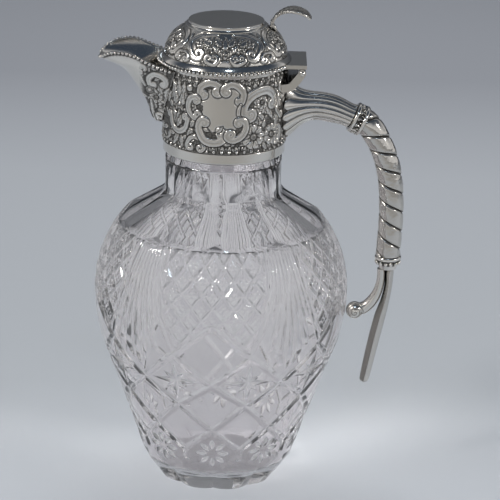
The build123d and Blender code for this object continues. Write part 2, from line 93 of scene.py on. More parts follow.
# heights of the lattice's crossings, from the tip of an arch down to the rosettes; each level is
# half a facet (18 degrees) further round
lattice_heights = [111.0, 92.0, 74.0, 60.0, 43.0, 29.0]
lattice_half_width = 2.1
lattice_depth = 1.15
lattice_run_out = 7.0         # how far its lines go on below the lowest crossings
arch_foot_angle = 17.5        # half-angle of an arch at the second level
arch_head_angle = 28.8        # and under the shoulder
arch_top = 147.5
arch_band = 3.3               # plain strip along the arch's side
groove_half_width = 0.9
groove_depth = 0.7
groove_fade = 6.0             # height over which both grooves run out at the arch's foot
diamond_angle = 9.6           # one diamond of the arch's field, degrees round
diamond_height = 14.0
diamond_half_width = 2.3
diamond_depth = 1.7
hatch_share = 4               # fine cuts across one diamond
hatch_half_width = 0.8
hatch_depth = 0.55
field_margin = (0.4, 1.0, 2.2)    # plain strip inside the grooves, over the lattice, and between the two
fan_blades = 7
fan_top = 146.5
fan_tip = 82.0                # lowest blade tip, in the fan's middle
fan_depth = 1.5
fan_tip_rise = 3.2            # the next tips lie higher by this, times the square of their number
fan_fades = (9.0, 12.0)       # heights over which blades fade in at their tips and out at their tops
fan_blade_width = 2.2         # narrower blades are shallower
star_height = 76.0
star_reach = 12.2
star_shares = {0: 1.12, 45: 0.72, 90: 1.12, 135: 0.72}    # of the reach, for each direction of two points
star_half_width = 2.6
star_depth = 2.2
rosette_height = 27.5
rosette_reach = (2.2, 9.6)    # inner and outer end of its petals
rosette_petals = 8
rosette_half_width = 1.9
rosette_depth = 1.6
foot_band_top = 15.8
foot_notch = 2.4
foot_notch_fade = 6.0
# share of light that the ground surface of each kind of cut scatters
lattice_pale = 0.25
groove_pale = 0.3
diamond_pale = 0.22
fan_pale = 0.35
star_pale = 0.6
rosette_pale = 0.65
full_pale_depth = 0.5


# --- Meshes ----------------------------------------------------------------------------------------
def add_piece(name, points, faces, material, body, slot, **attributes):
    """Smooth mesh piece from points in mm and faces; attributes are one number per point."""
    mesh = bpy.data.meshes.new(name)
    mesh.from_pydata(np.asarray(points) * MM, [], faces)
    mesh.shade_smooth()
    for key, values in attributes.items():
        layer = mesh.attributes.new(key, "FLOAT", "POINT")
        layer.data.foreach_set("value", np.asarray(values, dtype=np.float32).ravel())
    piece = bpy.data.objects.new(name, mesh)
    bpy.context.scene.collection.objects.link(piece)
    mesh.materials.append(material)
    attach(piece, body)
    return piece


def ring_quads(rows, columns, closed=False):
    """Quads between neighbouring rings, numbered ring by ring; closed joins the last ring to the first."""
    row = np.arange(rows if closed else rows - 1)[:, None]
    column = np.arange(columns)[None, :]
    low, high = row * columns, (row + 1) % rows * columns
    after = (column + 1) % columns
    corners = [low + column, low + after, high + after, high + column]
    return np.stack(corners, axis=-1).reshape(-1, 4)


def sheet_quads(rows, columns):
    """Quads of an open grid, numbered row by row."""
    row = np.arange(rows - 1)[:, None]
    column = np.arange(columns - 1)[None, :]
    a = row * columns + column
    return np.stack([a, a + 1, a + 1 + columns, a + columns], axis=-1).reshape(-1, 4)


def smooth_line(points, count):
    """Points along a curve through the given ones (Catmull-Rom)."""
    p = np.asarray(points, dtype=float)
    p = np.vstack([2 * p[0] - p[1], p, 2 * p[-1] - p[-2]])
    t = np.linspace(0, len(p) - 3 - 1e-9, count)
    i = t.astype(int)
    f = (t - i)[:, None]
    a, b, c, d = p[i], p[i + 1], p[i + 2], p[i + 3]
    bend = 2 * a - 5 * b + 4 * c - d
    return 0.5 * (2 * b + (c - a) * f + bend * f ** 2 + (3 * b - a - 3 * c + d) * f ** 3)


def line_length(line):
    """Way along a line to each of its points."""
    return np.concatenate([[0], np.cumsum(np.linalg.norm(np.diff(line, axis=0), axis=1))])


def turned(radius, angle, height):
    """Points of a turned grid, from its radii, angles in radians, and heights."""
    return np.stack(np.broadcast_arrays(radius * np.cos(angle), radius * np.sin(angle), height), axis=-1)


# --- Cut glass -------------------------------------------------------------------------------------
def circle_radius_at(height, middle, radius):
    """Radius of a turned arc at a height, from the arc's middle as (radius, height)."""
    return middle[0] + np.sqrt(np.maximum(radius ** 2 - (height - middle[1]) ** 2, 0))


def belly_arc(end):
    """Middle and radius of the arc that is upright at the widest ring and passes an end point."""
    drop, rise = belly[0] - end[0], abs(belly[1] - end[1])
    radius = (drop ** 2 + rise ** 2) / (2 * drop)
    return (belly[0] - radius, belly[1]), radius


def wall_radius(height):
    """Uncut outside of the body between the foot and the shoulder."""
    straight = np.interp(height, [0, foot_flare[1], waist[1], flank[1]],
                         [foot_radius, foot_flare[0], waist[0], flank[0]])
    below = circle_radius_at(height, *belly_arc(flank))
    above = circle_radius_at(height, *belly_arc(shoulder_edge))
    return np.where(height < flank[1], straight, np.where(height < belly[1], below, above))


def flute_radius(height):
    """Distance of a flute's flat from the axis, over shoulder and neck."""
    flat = cos(pi / facet_count)
    slope = (shoulder_radius - neck_corner_radius) * flat / (neck_bottom - shoulder_height)
    heights = [shoulder_height - flute_reach, shoulder_height, neck_bottom, neck_top]
    radii = [shoulder_radius * flat + slope * flute_reach, shoulder_radius * flat, neck_corner_radius * flat,
             neck_corner_radius * flat]
    sharp = np.interp(height, heights, radii)
    blend = neck_blend * neck_blend_share
    spread = [np.interp(height + step, heights, radii) for step in np.linspace(-blend, blend, 7)]
    soft = np.mean(spread, axis=0)
    return np.where(abs(height - neck_bottom) < 2 * blend, soft, sharp)


def outside_radius(angle, height):
    """Radius of the blank before the pattern is cut, angle in degrees from a ridge."""
    wall = wall_radius(height)
    step = 360 / facet_count
    from_flat = np.radians((angle % step) - step / 2)
    flat_share = 1 / np.cos(from_flat)
    even_share = 1 / cos(radians(step / 4))
    round_share = neck_roundness * np.clip((height - neck_bottom) / neck_blend, 0, 1)
    fluted = flute_radius(height) * (flat_share + round_share * (even_share - flat_share))
    cut = np.where(height > shoulder_height, fluted, np.minimum(wall, fluted))
    radius = np.where(height > shoulder_height - flute_reach, cut, wall)
    return np.where(height > neck_top, mouth_radius, radius)


def off_line(value, period):
    """Distance from the nearest multiple of a period."""
    return np.abs(value - period * np.round(value / period))


def mitre(distance, half_width, depth):
    """V cut, slightly rounded in its bottom."""
    share = np.clip(1 - distance / half_width, 0, 1)
    return depth * share * (1.15 - 0.15 * share)


def lens_cut(along, across, inner, outer, half_width, depth):
    """Pointed cut between two distances from a middle."""
    place = (along - inner) / (outer - inner)
    width = half_width * np.sin(pi * np.clip(place, 0, 1)) + 1e-6
    return depth * np.clip(1 - np.abs(across) / width, 0, 1) * np.sin(pi * np.clip(place, 0, 1))


def cut_pattern(angle, height, radius):
    """Depth of all cuts and how pale their surface is; angle in degrees from the front arch's middle."""
    half = 180 / facet_count
    mm = np.radians(1) * radius                       # millimetres per degree round
    level = np.interp(height, lattice_heights[::-1], np.arange(len(lattice_heights))[::-1])
    level_slope = np.abs(np.gradient(level, axis=0) / np.gradient(height, axis=0))
    upright = np.sqrt(1 + (half * level_slope * mm) ** 2)
    depth, pale = np.zeros_like(height), np.zeros_like(height)
    lowest = lattice_heights[-1] - lattice_run_out

    def cut(shape, paleness):
        nonlocal depth, pale
        pale = np.where(shape > depth, paleness * np.clip(shape / full_pale_depth, 0, 1), pale)
        depth = np.maximum(depth, shape)

    # diagonal lattice: both families of lines, the odd ones from the second level down
    for side in (-1, 1):
        shifted = angle - side * half * level
        k = np.round(shifted / (2 * half))
        across = np.abs(shifted - 2 * half * k) * mm / upright
        there = (height > lowest) & (height < lattice_heights[0]) & ((k % 2 == 0) | (level >= 1))
        cut(there * mitre(across, lattice_half_width, lattice_depth), lattice_pale)

    # arches and fans alternate; both are described from the nearest arch's middle
    from_arch = off_line(angle, 4 * half)
    rise = np.clip((arch_top - height) / (arch_top - lattice_heights[1]), 0, 1)
    edge = arch_head_angle - (arch_head_angle - arch_foot_angle) * rise ** 2
    inside_arch = (edge - from_arch) * mm
    above_foot = height > lattice_heights[1]
    below_top = height < arch_top
    for offset in (0, arch_band):
        side_cut = mitre(np.abs(inside_arch - offset), groove_half_width, groove_depth)
        ends = np.clip((height - lattice_heights[1]) / groove_fade, 0, 1)
        cut((above_foot & below_top) * side_cut * ends, groove_pale)

    signed = angle - 4 * half * np.round(angle / (4 * half))
    beside, above, between = field_margin
    clear_of_lattice = (height > lattice_heights[0] + above) | (level * half < np.abs(signed) - between / mm)
    field = (inside_arch > arch_band + beside) & below_top & clear_of_lattice
    u = signed / diamond_angle
    v = (height - arch_top) / diamond_height
    steep = 1 / np.sqrt((1 / (diamond_angle * mm)) ** 2 + (1 / diamond_height) ** 2)
    for family in (u + v, u - v):
        main = mitre(off_line(family, 1) * steep, diamond_half_width, diamond_depth)
        fine = mitre(off_line(family, 1 / hatch_share) * steep, hatch_half_width, hatch_depth)
        cut(field * np.maximum(main, fine), diamond_pale)

    # fans: blades side by side that widen downwards and end in a curve of tips
    from_fan = 2 * half - from_arch
    fan_edge = np.where(above_foot, 2 * half - edge, half * (2 - level)) - 0.5
    s = from_fan / np.maximum(fan_edge, 0.5)
    spacing = 2 / fan_blades
    nearest = np.round(s / spacing)
    gap = np.abs(s - nearest * spacing) * fan_edge * mm
    width = spacing * fan_edge * mm / 2
    tip = fan_tip + fan_tip_rise * nearest ** 2
    fade_in = np.clip((height - tip) / fan_fades[0], 0, 1)
    fade_out = np.clip((fan_top - height) / fan_fades[1], 0, 1)
    fade = np.sqrt(fade_in * fade_out)
    blade = fan_depth * np.clip(1 - gap / np.maximum(width * (0.55 + 0.45 * fade), 0.3), 0, 1)
    blade *= fade * np.clip(width / fan_blade_width, 0, 1)
    cut((np.abs(s) < 1) * below_top * blade, fan_pale)

    # eight-pointed stars between the second and fourth level
    star_x = (angle - half - 2 * half * np.round((angle - half) / (2 * half))) * mm
    star_z = height - star_height
    for turn, share in star_shares.items():
        a = radians(turn)
        along = star_x * cos(a) + star_z * sin(a)
        across = star_z * cos(a) - star_x * sin(a)
        reach = star_reach * share
        fall = np.clip(1 - np.abs(along) / reach, 0, 1)
        cut(star_depth * np.clip(fall - np.abs(across) / star_half_width, 0, 1), star_pale)

    # rosettes above the foot
    rose_x = (angle - 2 * half * np.round(angle / (2 * half))) * mm
    rose_z = height - rosette_height
    for k in range(rosette_petals):
        a = 2 * pi * k / rosette_petals + pi / 2
        along = rose_x * cos(a) + rose_z * sin(a)
        across = rose_z * cos(a) - rose_x * sin(a)
        petal = lens_cut(along, across, *rosette_reach, rosette_half_width, rosette_depth)
        cut(petal, rosette_pale)

    # scallops of the foot, which meet in cusps under the rosettes
    from_cusp = off_line(angle, 2 * half) / half
    scallop = foot_notch * np.clip(1 - from_cusp, 0, 1) ** 2
    cut(scallop * np.clip((foot_band_top - height) / foot_notch_fade, 0, 1), 0)
    return depth, pale


def glass_piece(material):
    """Cut body as one closed mesh: base, outside, mouth, bore and inside floor."""
    angle = np.arange(glass_columns) * 360 / glass_columns
    flat_start = shoulder_height - flute_reach
    blend_end = neck_bottom + 0.5 * neck_blend
    heights = np.concatenate([
        np.arange(0.0, flat_start, glass_row_step),
        np.linspace(flat_start, blend_end, shoulder_rows),
        np.linspace(blend_end + 0.5, neck_top - 0.02, neck_rows),
    ])
    grid_angle, grid_height = np.meshgrid(angle, heights)
    blank = outside_radius(grid_angle - facet_turn, grid_height)
    depth, pale = cut_pattern(grid_angle - facet_turn, grid_height, blank)
    outside = [(radii, np.full(glass_columns, z)) for radii, z in zip(blank - depth, heights)]

    inside = [(mouth_radius, neck_top), (mouth_radius, mouth_height - mouth_bevel)]    # (radius, height)
    inside += [(mouth_radius - mouth_bevel, mouth_height), (bore_radius, mouth_height)]
    inside += [(bore_radius + out, neck_bottom + up) for out, up in throat[:2]]
    inner_top = (shoulder_radius + inner_shoulder[0] - inner_shoulder_wall[0] * glass_wall,
                 shoulder_height - inner_shoulder[1] - inner_shoulder_wall[1] * glass_wall)
    throat_end = (bore_radius + throat[2][0], neck_bottom + throat[2][1])
    inside += [tuple(p) for p in np.linspace(throat_end, inner_top, 6)]
    for height in np.linspace(inner_top[1] - 1, glass_base + floor_corner, bore_rows):
        inside.append((float(wall_radius(height)) - glass_wall, height))
    floor_edge = inside[-1][0]
    inside += [(floor_edge - floor_bevel, glass_base + floor_bevel), (floor_edge - floor_corner, glass_base)]
    inside.append((centre_hole, glass_base))
    rings = [(np.full(glass_columns, centre_hole), np.zeros(glass_columns))] + outside
    rings += [(np.full(glass_columns, r), np.full(glass_columns, z)) for r, z in inside]

    turn = np.radians(angle)
    points = np.concatenate([turned(r, turn, z) for r, z in rings])
    faces = ring_quads(len(rings), glass_columns).tolist()
    last = len(rings) - 1
    faces.append(list(range(glass_columns - 1, -1, -1)))
    faces.append(list(range(last * glass_columns, (last + 1) * glass_columns)))
    pale = np.vstack([np.zeros((1, glass_columns)), pale, np.zeros((len(inside), glass_columns))])
    piece = add_piece("cut_glass_body", points, faces, material, "jug", "cut_glass", pale=pale)
    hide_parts("glass_body")


# --- Chased silver: sizes --------------------------------------------------------------------------
collar_radius = 33.6
collar_wall = 1.2
collar_bottom = 194.5
collar_height = 41.4
spout_reaches_to = -15.0      # the spout's opening in the wall lies beyond this x
dome_outline = [(33.2, 242.3), (32.2, 246.0), (28.6, 252.3), (21.9, 257.5)]   # (radius, height)
dome_wall = 1.2
dome_hole_radius = 18.0
dome_panels = 4
dome_mean_radius = 31.0       # where the dome's ornament is drawn to scale
dome_dark = 0.16
dome_field_dark = 0.42        # behind the leaves in the middle of a panel
dome_edge = 0.8               # the relief fades out over this strip at its edges
chasing_step = 0.3
outline_width = 0.95          # engraved line round each raised form
outline_depth = 0.4
flower_gap = 0.6              # the same between the petals of an open flower
ground_level = -0.18
ground_dark = 0.8
ground_grain = (0.12, 0.35)   # unevenness of the ground's height and tarnish
scroll_rib = (0.26, 0.12)     # half width as a share of the band's, depth
petal_vein = (0.22, 0.16)     # half width, depth
lid_bead_radius = 1.02
lid_bead_ring = (35.9, 238.7)  # (radius, height) of the row's middle
lid_bead_count = 94
lid_bead_stretch = 1.1
leaf_half_width = 15.2        # the hinge leaf interrupts the row
# poured edge seen from the side: reach from the axis, height
spout_edge = [(69.6, 237.0), (66.6, 240.4), (62.0, 243.5), (56.0, 244.9), (49.3, 244.3), (42.6, 241.6),
              (36.0, 238.9), (29.0, 236.7), (20.0, 236.2)]
spout_bead_radius = 1.0
spout_bead_pitch = 2.3
spout_bead_out = 0.5          # beyond the wall
spout_bead_drop = 0.5         # below the edge
spout_bead_span = (-67.5, -28.0)
spout_plain_beyond = -46.0    # the lip is plain from here to its tip
spout_fades = (2.5, 0.8)      # lengths over which the chasing fades to the lip and to the collar
spout_tarnish_reach = 2.4     # of the tarnish behind the beads, in bead radii
# mesh size of the pieces that are remade from their CAD nodes
voxels = {
    "spout": 0.42,
    "handle_lower_ring": 0.22,
    "thumbpiece": 0.3,
    "handle_arm": 0.26,
    "handle_scroll": 0.26,
}


class Chasing:
    """Relief worked into a strip of silver: height in mm beside the plain metal, and dark tarnish.

    Each form is pressed over what is there already and gets an engraved outline, so forms that come
    later lie in front. A mirrored strip repeats each form about its middle, u = 0.
    """

    def __init__(self, low, high, seed, mirrored=False, step=chasing_step):
        self.low = low
        self.mirrored = mirrored
        across = np.linspace(low[0], high[0], round((high[0] - low[0]) / step) + 1)
        up = np.linspace(low[1], high[1], round((high[1] - low[1]) / step) + 1)
        self.u, self.v = np.meshgrid(across, up)
        self.steps = (across[1] - across[0], up[1] - up[0])
        self.random = np.random.default_rng(seed)
        grain = self.random.random(self.u.shape)
        self.height = ground_level + ground_grain[0] * (grain - 0.5)
        self.dark = ground_dark + ground_grain[1] * (grain - 0.5)

    def near(self, low, high):
        """Rows and columns of the strip between two corners, with room for the outline."""
        spans = []
        for axis, count in ((1, self.u.shape[0]), (0, self.u.shape[1])):
            start = int((low[axis] - 1.5 - self.low[axis]) / self.steps[axis])
            end = int((high[axis] + 1.5 - self.low[axis]) / self.steps[axis]) + 2
            spans.append(slice(min(max(start, 0), count), min(max(end, 0), count)))
        return tuple(spans)

    def press(self, area, outside, rise, dark=0.0, gap=outline_width):
        """Raise the metal where outside, the distance beyond a form's edge, is below zero."""
        inside = outside < 0
        line = np.clip(1 - np.abs(outside / (0.5 * gap) - 1), 0, 1)
        height = np.where(inside, rise, self.height[area])
        self.height[area] = np.where(line > 0, np.minimum(height, -outline_depth * line), height)
        self.dark[area] = np.maximum(np.where(inside, dark, self.dark[area]), line ** 0.6)

    def scroll(self, points, width, start=None, end=None, rise=0.34, mirror=False):
        """Ribbed band through the points; start and end are the middles of its curls."""
        line = np.asarray(points, dtype=float)
        if start is not None:
            line = np.vstack([curl(line[0], line[0] - line[1], start)[::-1], line])
        if end is not None:
            line = np.vstack([line, curl(line[-1], line[-1] - line[-2], end)])
        if mirror:
            line = line * (-1, 1)
        line = smooth_line(line, 26 * len(line))
        length = line_length(line)
        share = length / length[-1]
        half = 0.5 * width * (0.42 + 0.58 * np.sin(pi * np.clip(share, 0, 1)) ** 0.8)
        area = self.near(line.min(axis=0) - half.max(), line.max(axis=0) + half.max())
        u, v = self.u[area], self.v[area]
        if u.size:
            beside = np.full(u.shape, 99.0)
            share_across = np.full(u.shape, 9.0)
            for (x, y), reach in zip(line[::2], half[::2]):
                distance = np.hypot(u - x, v - y)
                closer = distance - reach < beside
                beside = np.where(closer, distance - reach, beside)
                share_across = np.where(closer, distance / reach, share_across)
            crown = np.sqrt(np.clip(1 - share_across ** 2, 0, 1))
            rib = np.exp(-(share_across / scroll_rib[0]) ** 2) * (width > 1.6)
            self.press(area, beside, rise * crown ** 0.7 - scroll_rib[1] * rib, 0.3 * rib)
        if self.mirrored and not mirror:
            self.scroll(points, width, start, end, rise, mirror=True)

    def petal(self, base, angle, length, width, rise=0.3, lobes=0, fullness=0.75, gap=outline_width,
              mirror=False):
        """Pointed leaf or petal from its base, with a vein; lobes notch its sides, fullness moves its
        widest place towards the tip."""
        a = radians(180 - angle if mirror else angle)
        base_u = -base[0] if mirror else base[0]
        tip = (base_u + length * cos(a), base[1] + length * sin(a))
        area = self.near(np.minimum((base_u, base[1]), tip) - width / 2,
                         np.maximum((base_u, base[1]), tip) + width / 2)
        u, v = self.u[area] - base_u, self.v[area] - base[1]
        if u.size:
            along = (u * cos(a) + v * sin(a)) / length
            across = np.abs(v * cos(a) - u * sin(a))
            share = np.clip(along, 0, 1)
            half = 0.5 * width * np.sin(pi * share ** fullness) + 1e-3
            if lobes:
                half *= 0.85 + 0.22 * np.cos(2 * pi * lobes * share)
            beside = np.hypot(np.maximum(across - half, 0), (along - share) * length)
            beside = np.where(beside > 0, beside, across - half)
            crown = np.sqrt(np.clip(1 - (across / half) ** 2, 0, 1))
            vein = np.exp(-(across / petal_vein[0]) ** 2) * (share < 0.7)
            if lobes:
                slant = np.abs(((share * length - 0.9 * across) * lobes / length) % 1 - 0.5)
                vein = np.maximum(vein, 0.8 * np.clip(1 - slant / 0.16, 0, 1) * (across > 0.25))
            self.press(area, beside, rise * crown ** 0.7 - petal_vein[1] * vein, 0.75 * vein, gap)
        if self.mirrored and not mirror:
            self.petal(base, angle, length, width, rise, lobes, fullness, gap, mirror=True)

    def leaf(self, base, tip, width, lobes=4):
        """Notched leaf between two points."""
        run = (tip[0] - base[0], tip[1] - base[1])
        self.petal(base, degrees(atan2(run[1], run[0])), hypot(*run), width, lobes=lobes)

    def boss(self, middle, radius, rise=0.4, dark=0.0, mirror=False):
        """Round knob."""
        u = -middle[0] if mirror else middle[0]
        area = self.near((u - radius, middle[1] - radius), (u + radius, middle[1] + radius))
        distance = np.hypot(self.u[area] - u, self.v[area] - middle[1])
        if distance.size:
            crown = np.sqrt(np.clip(1 - (distance / radius) ** 2, 0, 1))
            self.press(area, distance - radius, rise * crown, dark * crown)
        if self.mirrored and not mirror:
            self.boss(middle, radius, rise, dark, mirror=True)

    def daisy(self, middle, radius, petals=9, turn=10.0):
        """Open flower seen from the front."""
        for k in range(petals):
            angle = turn + 360 * k / petals
            root = 0.22 * radius
            base = (middle[0] + root * cos(radians(angle)), middle[1] + root * sin(radians(angle)))
            self.petal(base, angle, 0.82 * radius, 1.9 * radius * sin(pi / petals), rise=0.34, fullness=1.9,
                       gap=flower_gap)
        self.boss(middle, 0.24 * radius, rise=0.3, dark=0.75)

    def bud(self, base, angle, size):
        """Small flower seen from the side: three petals on a calyx."""
        for spread in (-38, 38, 0):
            self.petal(base, angle + spread, size, 0.46 * size)
        self.boss(base, 0.2 * size)

    def undergrowth(self, count, low, high):
        """Small leaves at random over an area, for the later forms to lie on."""
        for _ in range(count):
            base = self.random.uniform(low, high)
            length = self.random.uniform(3.2, 5.6)
            self.petal(base, self.random.uniform(0, 360), length, 0.46 * length, rise=0.2)

    def smooth_field(self, middle, reach, power=2.6):
        """Plain burnished field with a rounded outline."""
        u, v = (self.u - middle[0]) / reach[0], (self.v - middle[1]) / reach[1]
        inside = np.abs(u) ** power + np.abs(v) ** power < 1
        self.height = np.where(inside, 0.0, self.height)
        self.dark = np.where(inside, 0.0, self.dark)


def curl(point, heading, middle, turns=1.0):
    """Spiral that carries a line on from its end round the middle of a curl."""
    arm = np.subtract(point, middle)
    side = -np.sign(heading[0] * arm[1] - heading[1] * arm[0]) or 1.0
    share = np.linspace(0, 1, round(9 * turns) + 1)[1:]
    angle = atan2(arm[1], arm[0]) + side * 2 * pi * turns * share
    reach = hypot(*arm) * (1 - 0.74 * share ** 0.8)
    return np.asarray(middle) + np.stack([reach * np.cos(angle), reach * np.sin(angle)], axis=-1)


def wall_piece(name, outer, inner, wrapped, material, body, slot, keep=None, **attributes):
    """Closed wall between two grids of points with the same rows and columns."""
    rows, columns = outer.shape[:2]
    quads = ring_quads(rows, columns) if wrapped else sheet_quads(rows, columns)
    if keep is not None:
        quads = quads[keep.ravel()[quads].all(axis=1)]
    count = rows * columns
    edges = np.concatenate([quads[:, [i, (i + 1) % 4]] for i in range(4)])
    there, back = edges[:, 0] * count + edges[:, 1], edges[:, 1] * count + edges[:, 0]
    rim = edges[~np.isin(there, back)]
    walls = np.stack([rim[:, 1], rim[:, 0], rim[:, 0] + count, rim[:, 1] + count], axis=-1)
    faces = np.concatenate([quads, quads[:, ::-1] + count, walls])
    points = np.concatenate([outer.reshape(-1, 3), inner.reshape(-1, 3)])
    used, faces = np.unique(faces, return_inverse=True)
    both = {key: np.concatenate([v.ravel(), 0 * v.ravel()])[used] for key, v in attributes.items()}
    return add_piece(name, points[used], faces.reshape(-1, 4).tolist(), material, body, slot, **both)


def node_tree_of(node):
    """Search tree over a CAD node's surface, in mm."""
    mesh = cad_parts[node].data
    points = [v.co / MM for v in mesh.vertices]
    return BVHTree.FromPolygons(points, [tuple(p.vertices) for p in mesh.polygons])


# --- Collar ----------------------------------------------------------------------------------------
def collar_chasing():
    """Front half of the collar; u runs from the spout (-) to the handle, v up from the collar's foot."""
    quarter = collar_radius * pi / 2
    strip = Chasing((-quarter, 0), (quarter, collar_height), seed=3)
    strip.undergrowth(190, (-quarter, 0.5), (quarter, collar_height - 0.5))
    # tufts along the upper and the lower edge
    for u in np.arange(-50, 52, 4.1):
        strip.bud((u, 1.2), 90 + 14 * sin(u), 3.4)
        strip.bud((u + 2.0, collar_height - 0.8), -90 + 14 * cos(u), 3.2)
    # flowers and leaves beside the spout
    for form in (
        ((-28.2, 23.6), (-31.6, 37.6), 6.2, 5), ((-25.4, 23.6), (-22.6, 37.8), 6.0, 5),
        ((-26.8, 29.0), (-27.0, 38.8), 3.6),
    ):
        strip.leaf(*form)
    strip.bud((-26.6, 25.0), -90, 4.2)
    strip.boss((-19.5, 34.9), 1.7)
    strip.leaf((-36.0, 24.0), (-36.8, 35.0), 5.0)
    for tip in ((-34.6, 21.6), (-30.8, 22.4), (-26.6, 22.0), (-23.0, 21.0)):
        strip.leaf((-28.0, 12.5), tip, 3.4, lobes=3)
    for form in (
        ((-27.0, 8.6), (-31.0, 2.0), 3.4), ((-25.0, 8.2), (-24.0, 1.6), 3.0),
        ((-34.0, 9.0), (-36.6, 3.4), 3.2), ((-18.4, 13.6), (-16.2, 19.0), 3.0),
        ((-17.2, 12.8), (-21.0, 8.6), 3.0), ((-20.4, 27.0), (-22.2, 31.6), 2.6),
    ):
        strip.leaf(*form)
    # inside and round the great crescent
    for angle in (142, 124, 106, 88, 70, 52, 33):
        root = (20.4 + 9.4 * cos(radians(angle)), 26.4 + 7.8 * sin(radians(angle)))
        strip.petal(root, angle, 5.4, 2.9, lobes=3)
    for form in (
        ((17.6, 24.4), (23.6, 17.2), 4.4), ((19.8, 26.0), (26.6, 20.8), 4.2),
        ((24.4, 26.0), (29.4, 17.6), 4.0),
    ):
        strip.leaf(*form)
    strip.daisy((21.6, 27.6), 3.6, petals=7)
    strip.leaf((26.0, 25.4), (27.2, 30.4), 2.8)
    strip.bud((17.2, 19.4), -60, 4.0)
    # beside the handle
    for form in (
        ((33.8, 22.0), (36.8, 31.6), 5.0), ((33.6, 20.6), (31.8, 12.4), 4.4),
        ((35.4, 14.4), (36.6, 5.0), 4.2),
    ):
        strip.leaf(*form)
    for form in (
        ([(35.6, 19.2), (33.0, 22.4), (33.6, 27.4), (36.6, 30.4)], 2.6, (37.8, 18.8), (38.6, 28.6)),
        ([(33.0, 3.6), (35.8, 5.6), (36.6, 9.4)], 2.2, (33.2, 6.2), (34.4, 10.8)),
        ([(36.4, 35.6), (40.6, 38.4), (45.6, 38.0), (49.4, 35.0)], 2.8, (38.2, 33.4), (47.6, 33.2)),
    ):
        strip.scroll(*form)
    strip.leaf((42.6, 36.4), (43.0, 30.0), 3.4)
    strip.leaf((50.4, 30.4), (52.4, 38.6), 4.2)
    # daisies low on the right
    strip.daisy((28.9, 9.1), 5.6, turn=4)
    strip.daisy((16.7, 9.2), 6.5)
    strip.leaf((22.6, 5.4), (25.4, 1.0), 2.6)
    strip.leaf((22.8, 13.6), (23.4, 18.4), 2.8)
    # scrolls
    for form in (
        ([(-33.6, 17.2), (-32.2, 12.6), (-29.2, 10.4), (-25.4, 10.2), (-22.2, 12.6),
          (-20.6, 17.2)], 3.0, (-35.4, 17.6), (-22.4, 18.2)),
        ([(-20.8, 4.4), (-18.6, 7.8), (-15.8, 8.6), (-12.4, 7.4), (-10.8, 4.6)], 2.2, (-18.6, 3.2),
          (-12.8, 3.0)),
        ([(12.2, 19.8), (10.7, 22.6), (10.9, 26.4), (13.4, 30.4), (18.0, 33.2), (24.3, 34.0),
          (29.2, 31.2), (30.9, 27.2)], 5.0, (14.6, 22.0), (28.6, 26.4)),
    ):
        strip.scroll(*form)
    # cartouche: plain field and its frame
    strip.smooth_field((-0.6, 24.6), (10.6, 12.4))
    for form in (
        ([(-13.4, 32.2), (-12.6, 36.4), (-8.6, 38.9), (-4.4, 38.6), (-1.8, 36.2)], 3.6, (-11.2, 32.8),
          (-3.9, 34.6)),
        ([(0.3, 36.6), (3.4, 38.5), (6.9, 37.7), (10.0, 34.6), (10.4, 31.3), (9.6, 28.7)], 3.5,
          (1.4, 34.5), (8.2, 29.6)),
        ([(8.9, 27.4), (8.0, 24.8), (7.9, 22.2), (8.8, 19.8)], 1.5),
        ([(-15.8, 30.9), (-18.8, 29.6), (-20.2, 26.2), (-19.6, 22.3), (-16.9, 19.6)], 3.0,
          (-15.5, 28.7), (-14.8, 21.3)),
        ([(0.9, 9.7), (-1.6, 7.2), (-5.6, 6.3), (-10.2, 7.6), (-13.0, 11.4), (-13.7, 15.4),
          (-12.2, 18.4)], 4.2, (-1.3, 11.1), (-10.5, 17.0)),
        ([(9.5, 19.2), (11.6, 17.8), (12.2, 14.8), (10.8, 11.3), (7.8, 8.7), (4.6, 7.9),
          (2.1, 9.2)], 3.4, (8.4, 17.2), (4.1, 10.9)),
    ):
        strip.scroll(*form)
    strip.leaf((-4.0, 12.4), (-0.4, 15.4), 2.4, lobes=0)
    return strip


def collar_piece(material):
    """Chased wall of the collar, open where the CAD wall is open to the spout."""
    strip = collar_chasing()
    height = np.concatenate([strip.height, strip.height[:, -2:0:-1]], axis=1)
    dark = np.concatenate([strip.dark, strip.dark[:, -2:0:-1]], axis=1)
    rows, columns = height.shape
    # the strip starts at the spout's keel, which lies at 180 degrees
    angle = pi + 2 * pi * np.arange(columns) / columns
    level = collar_bottom + strip.v[:, :1]
    edge = np.minimum(np.arange(rows), np.arange(rows)[::-1])[:, None]
    outer = turned(collar_radius + height * np.clip(edge / 2, 0, 1), angle, level)
    inner = turned(np.full_like(height, collar_radius - collar_wall), angle, level)
    tree = node_tree_of("collar_shell")
    middle = 0.5 * (outer + inner)
    keep = np.ones((rows, columns), dtype=bool)
    for row, column in np.argwhere(middle[..., 0] < spout_reaches_to):
        point = Vector(middle[row, column])
        place, normal, _, distance = tree.find_nearest(point)
        if (point - place).dot(normal) > 0 and distance > 0.02:
            keep[row, column] = False
    piece = wall_piece("chased_collar", outer, inner, True, material, "jug", "chased_silver", keep, dark=dark)
    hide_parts("collar_shell")


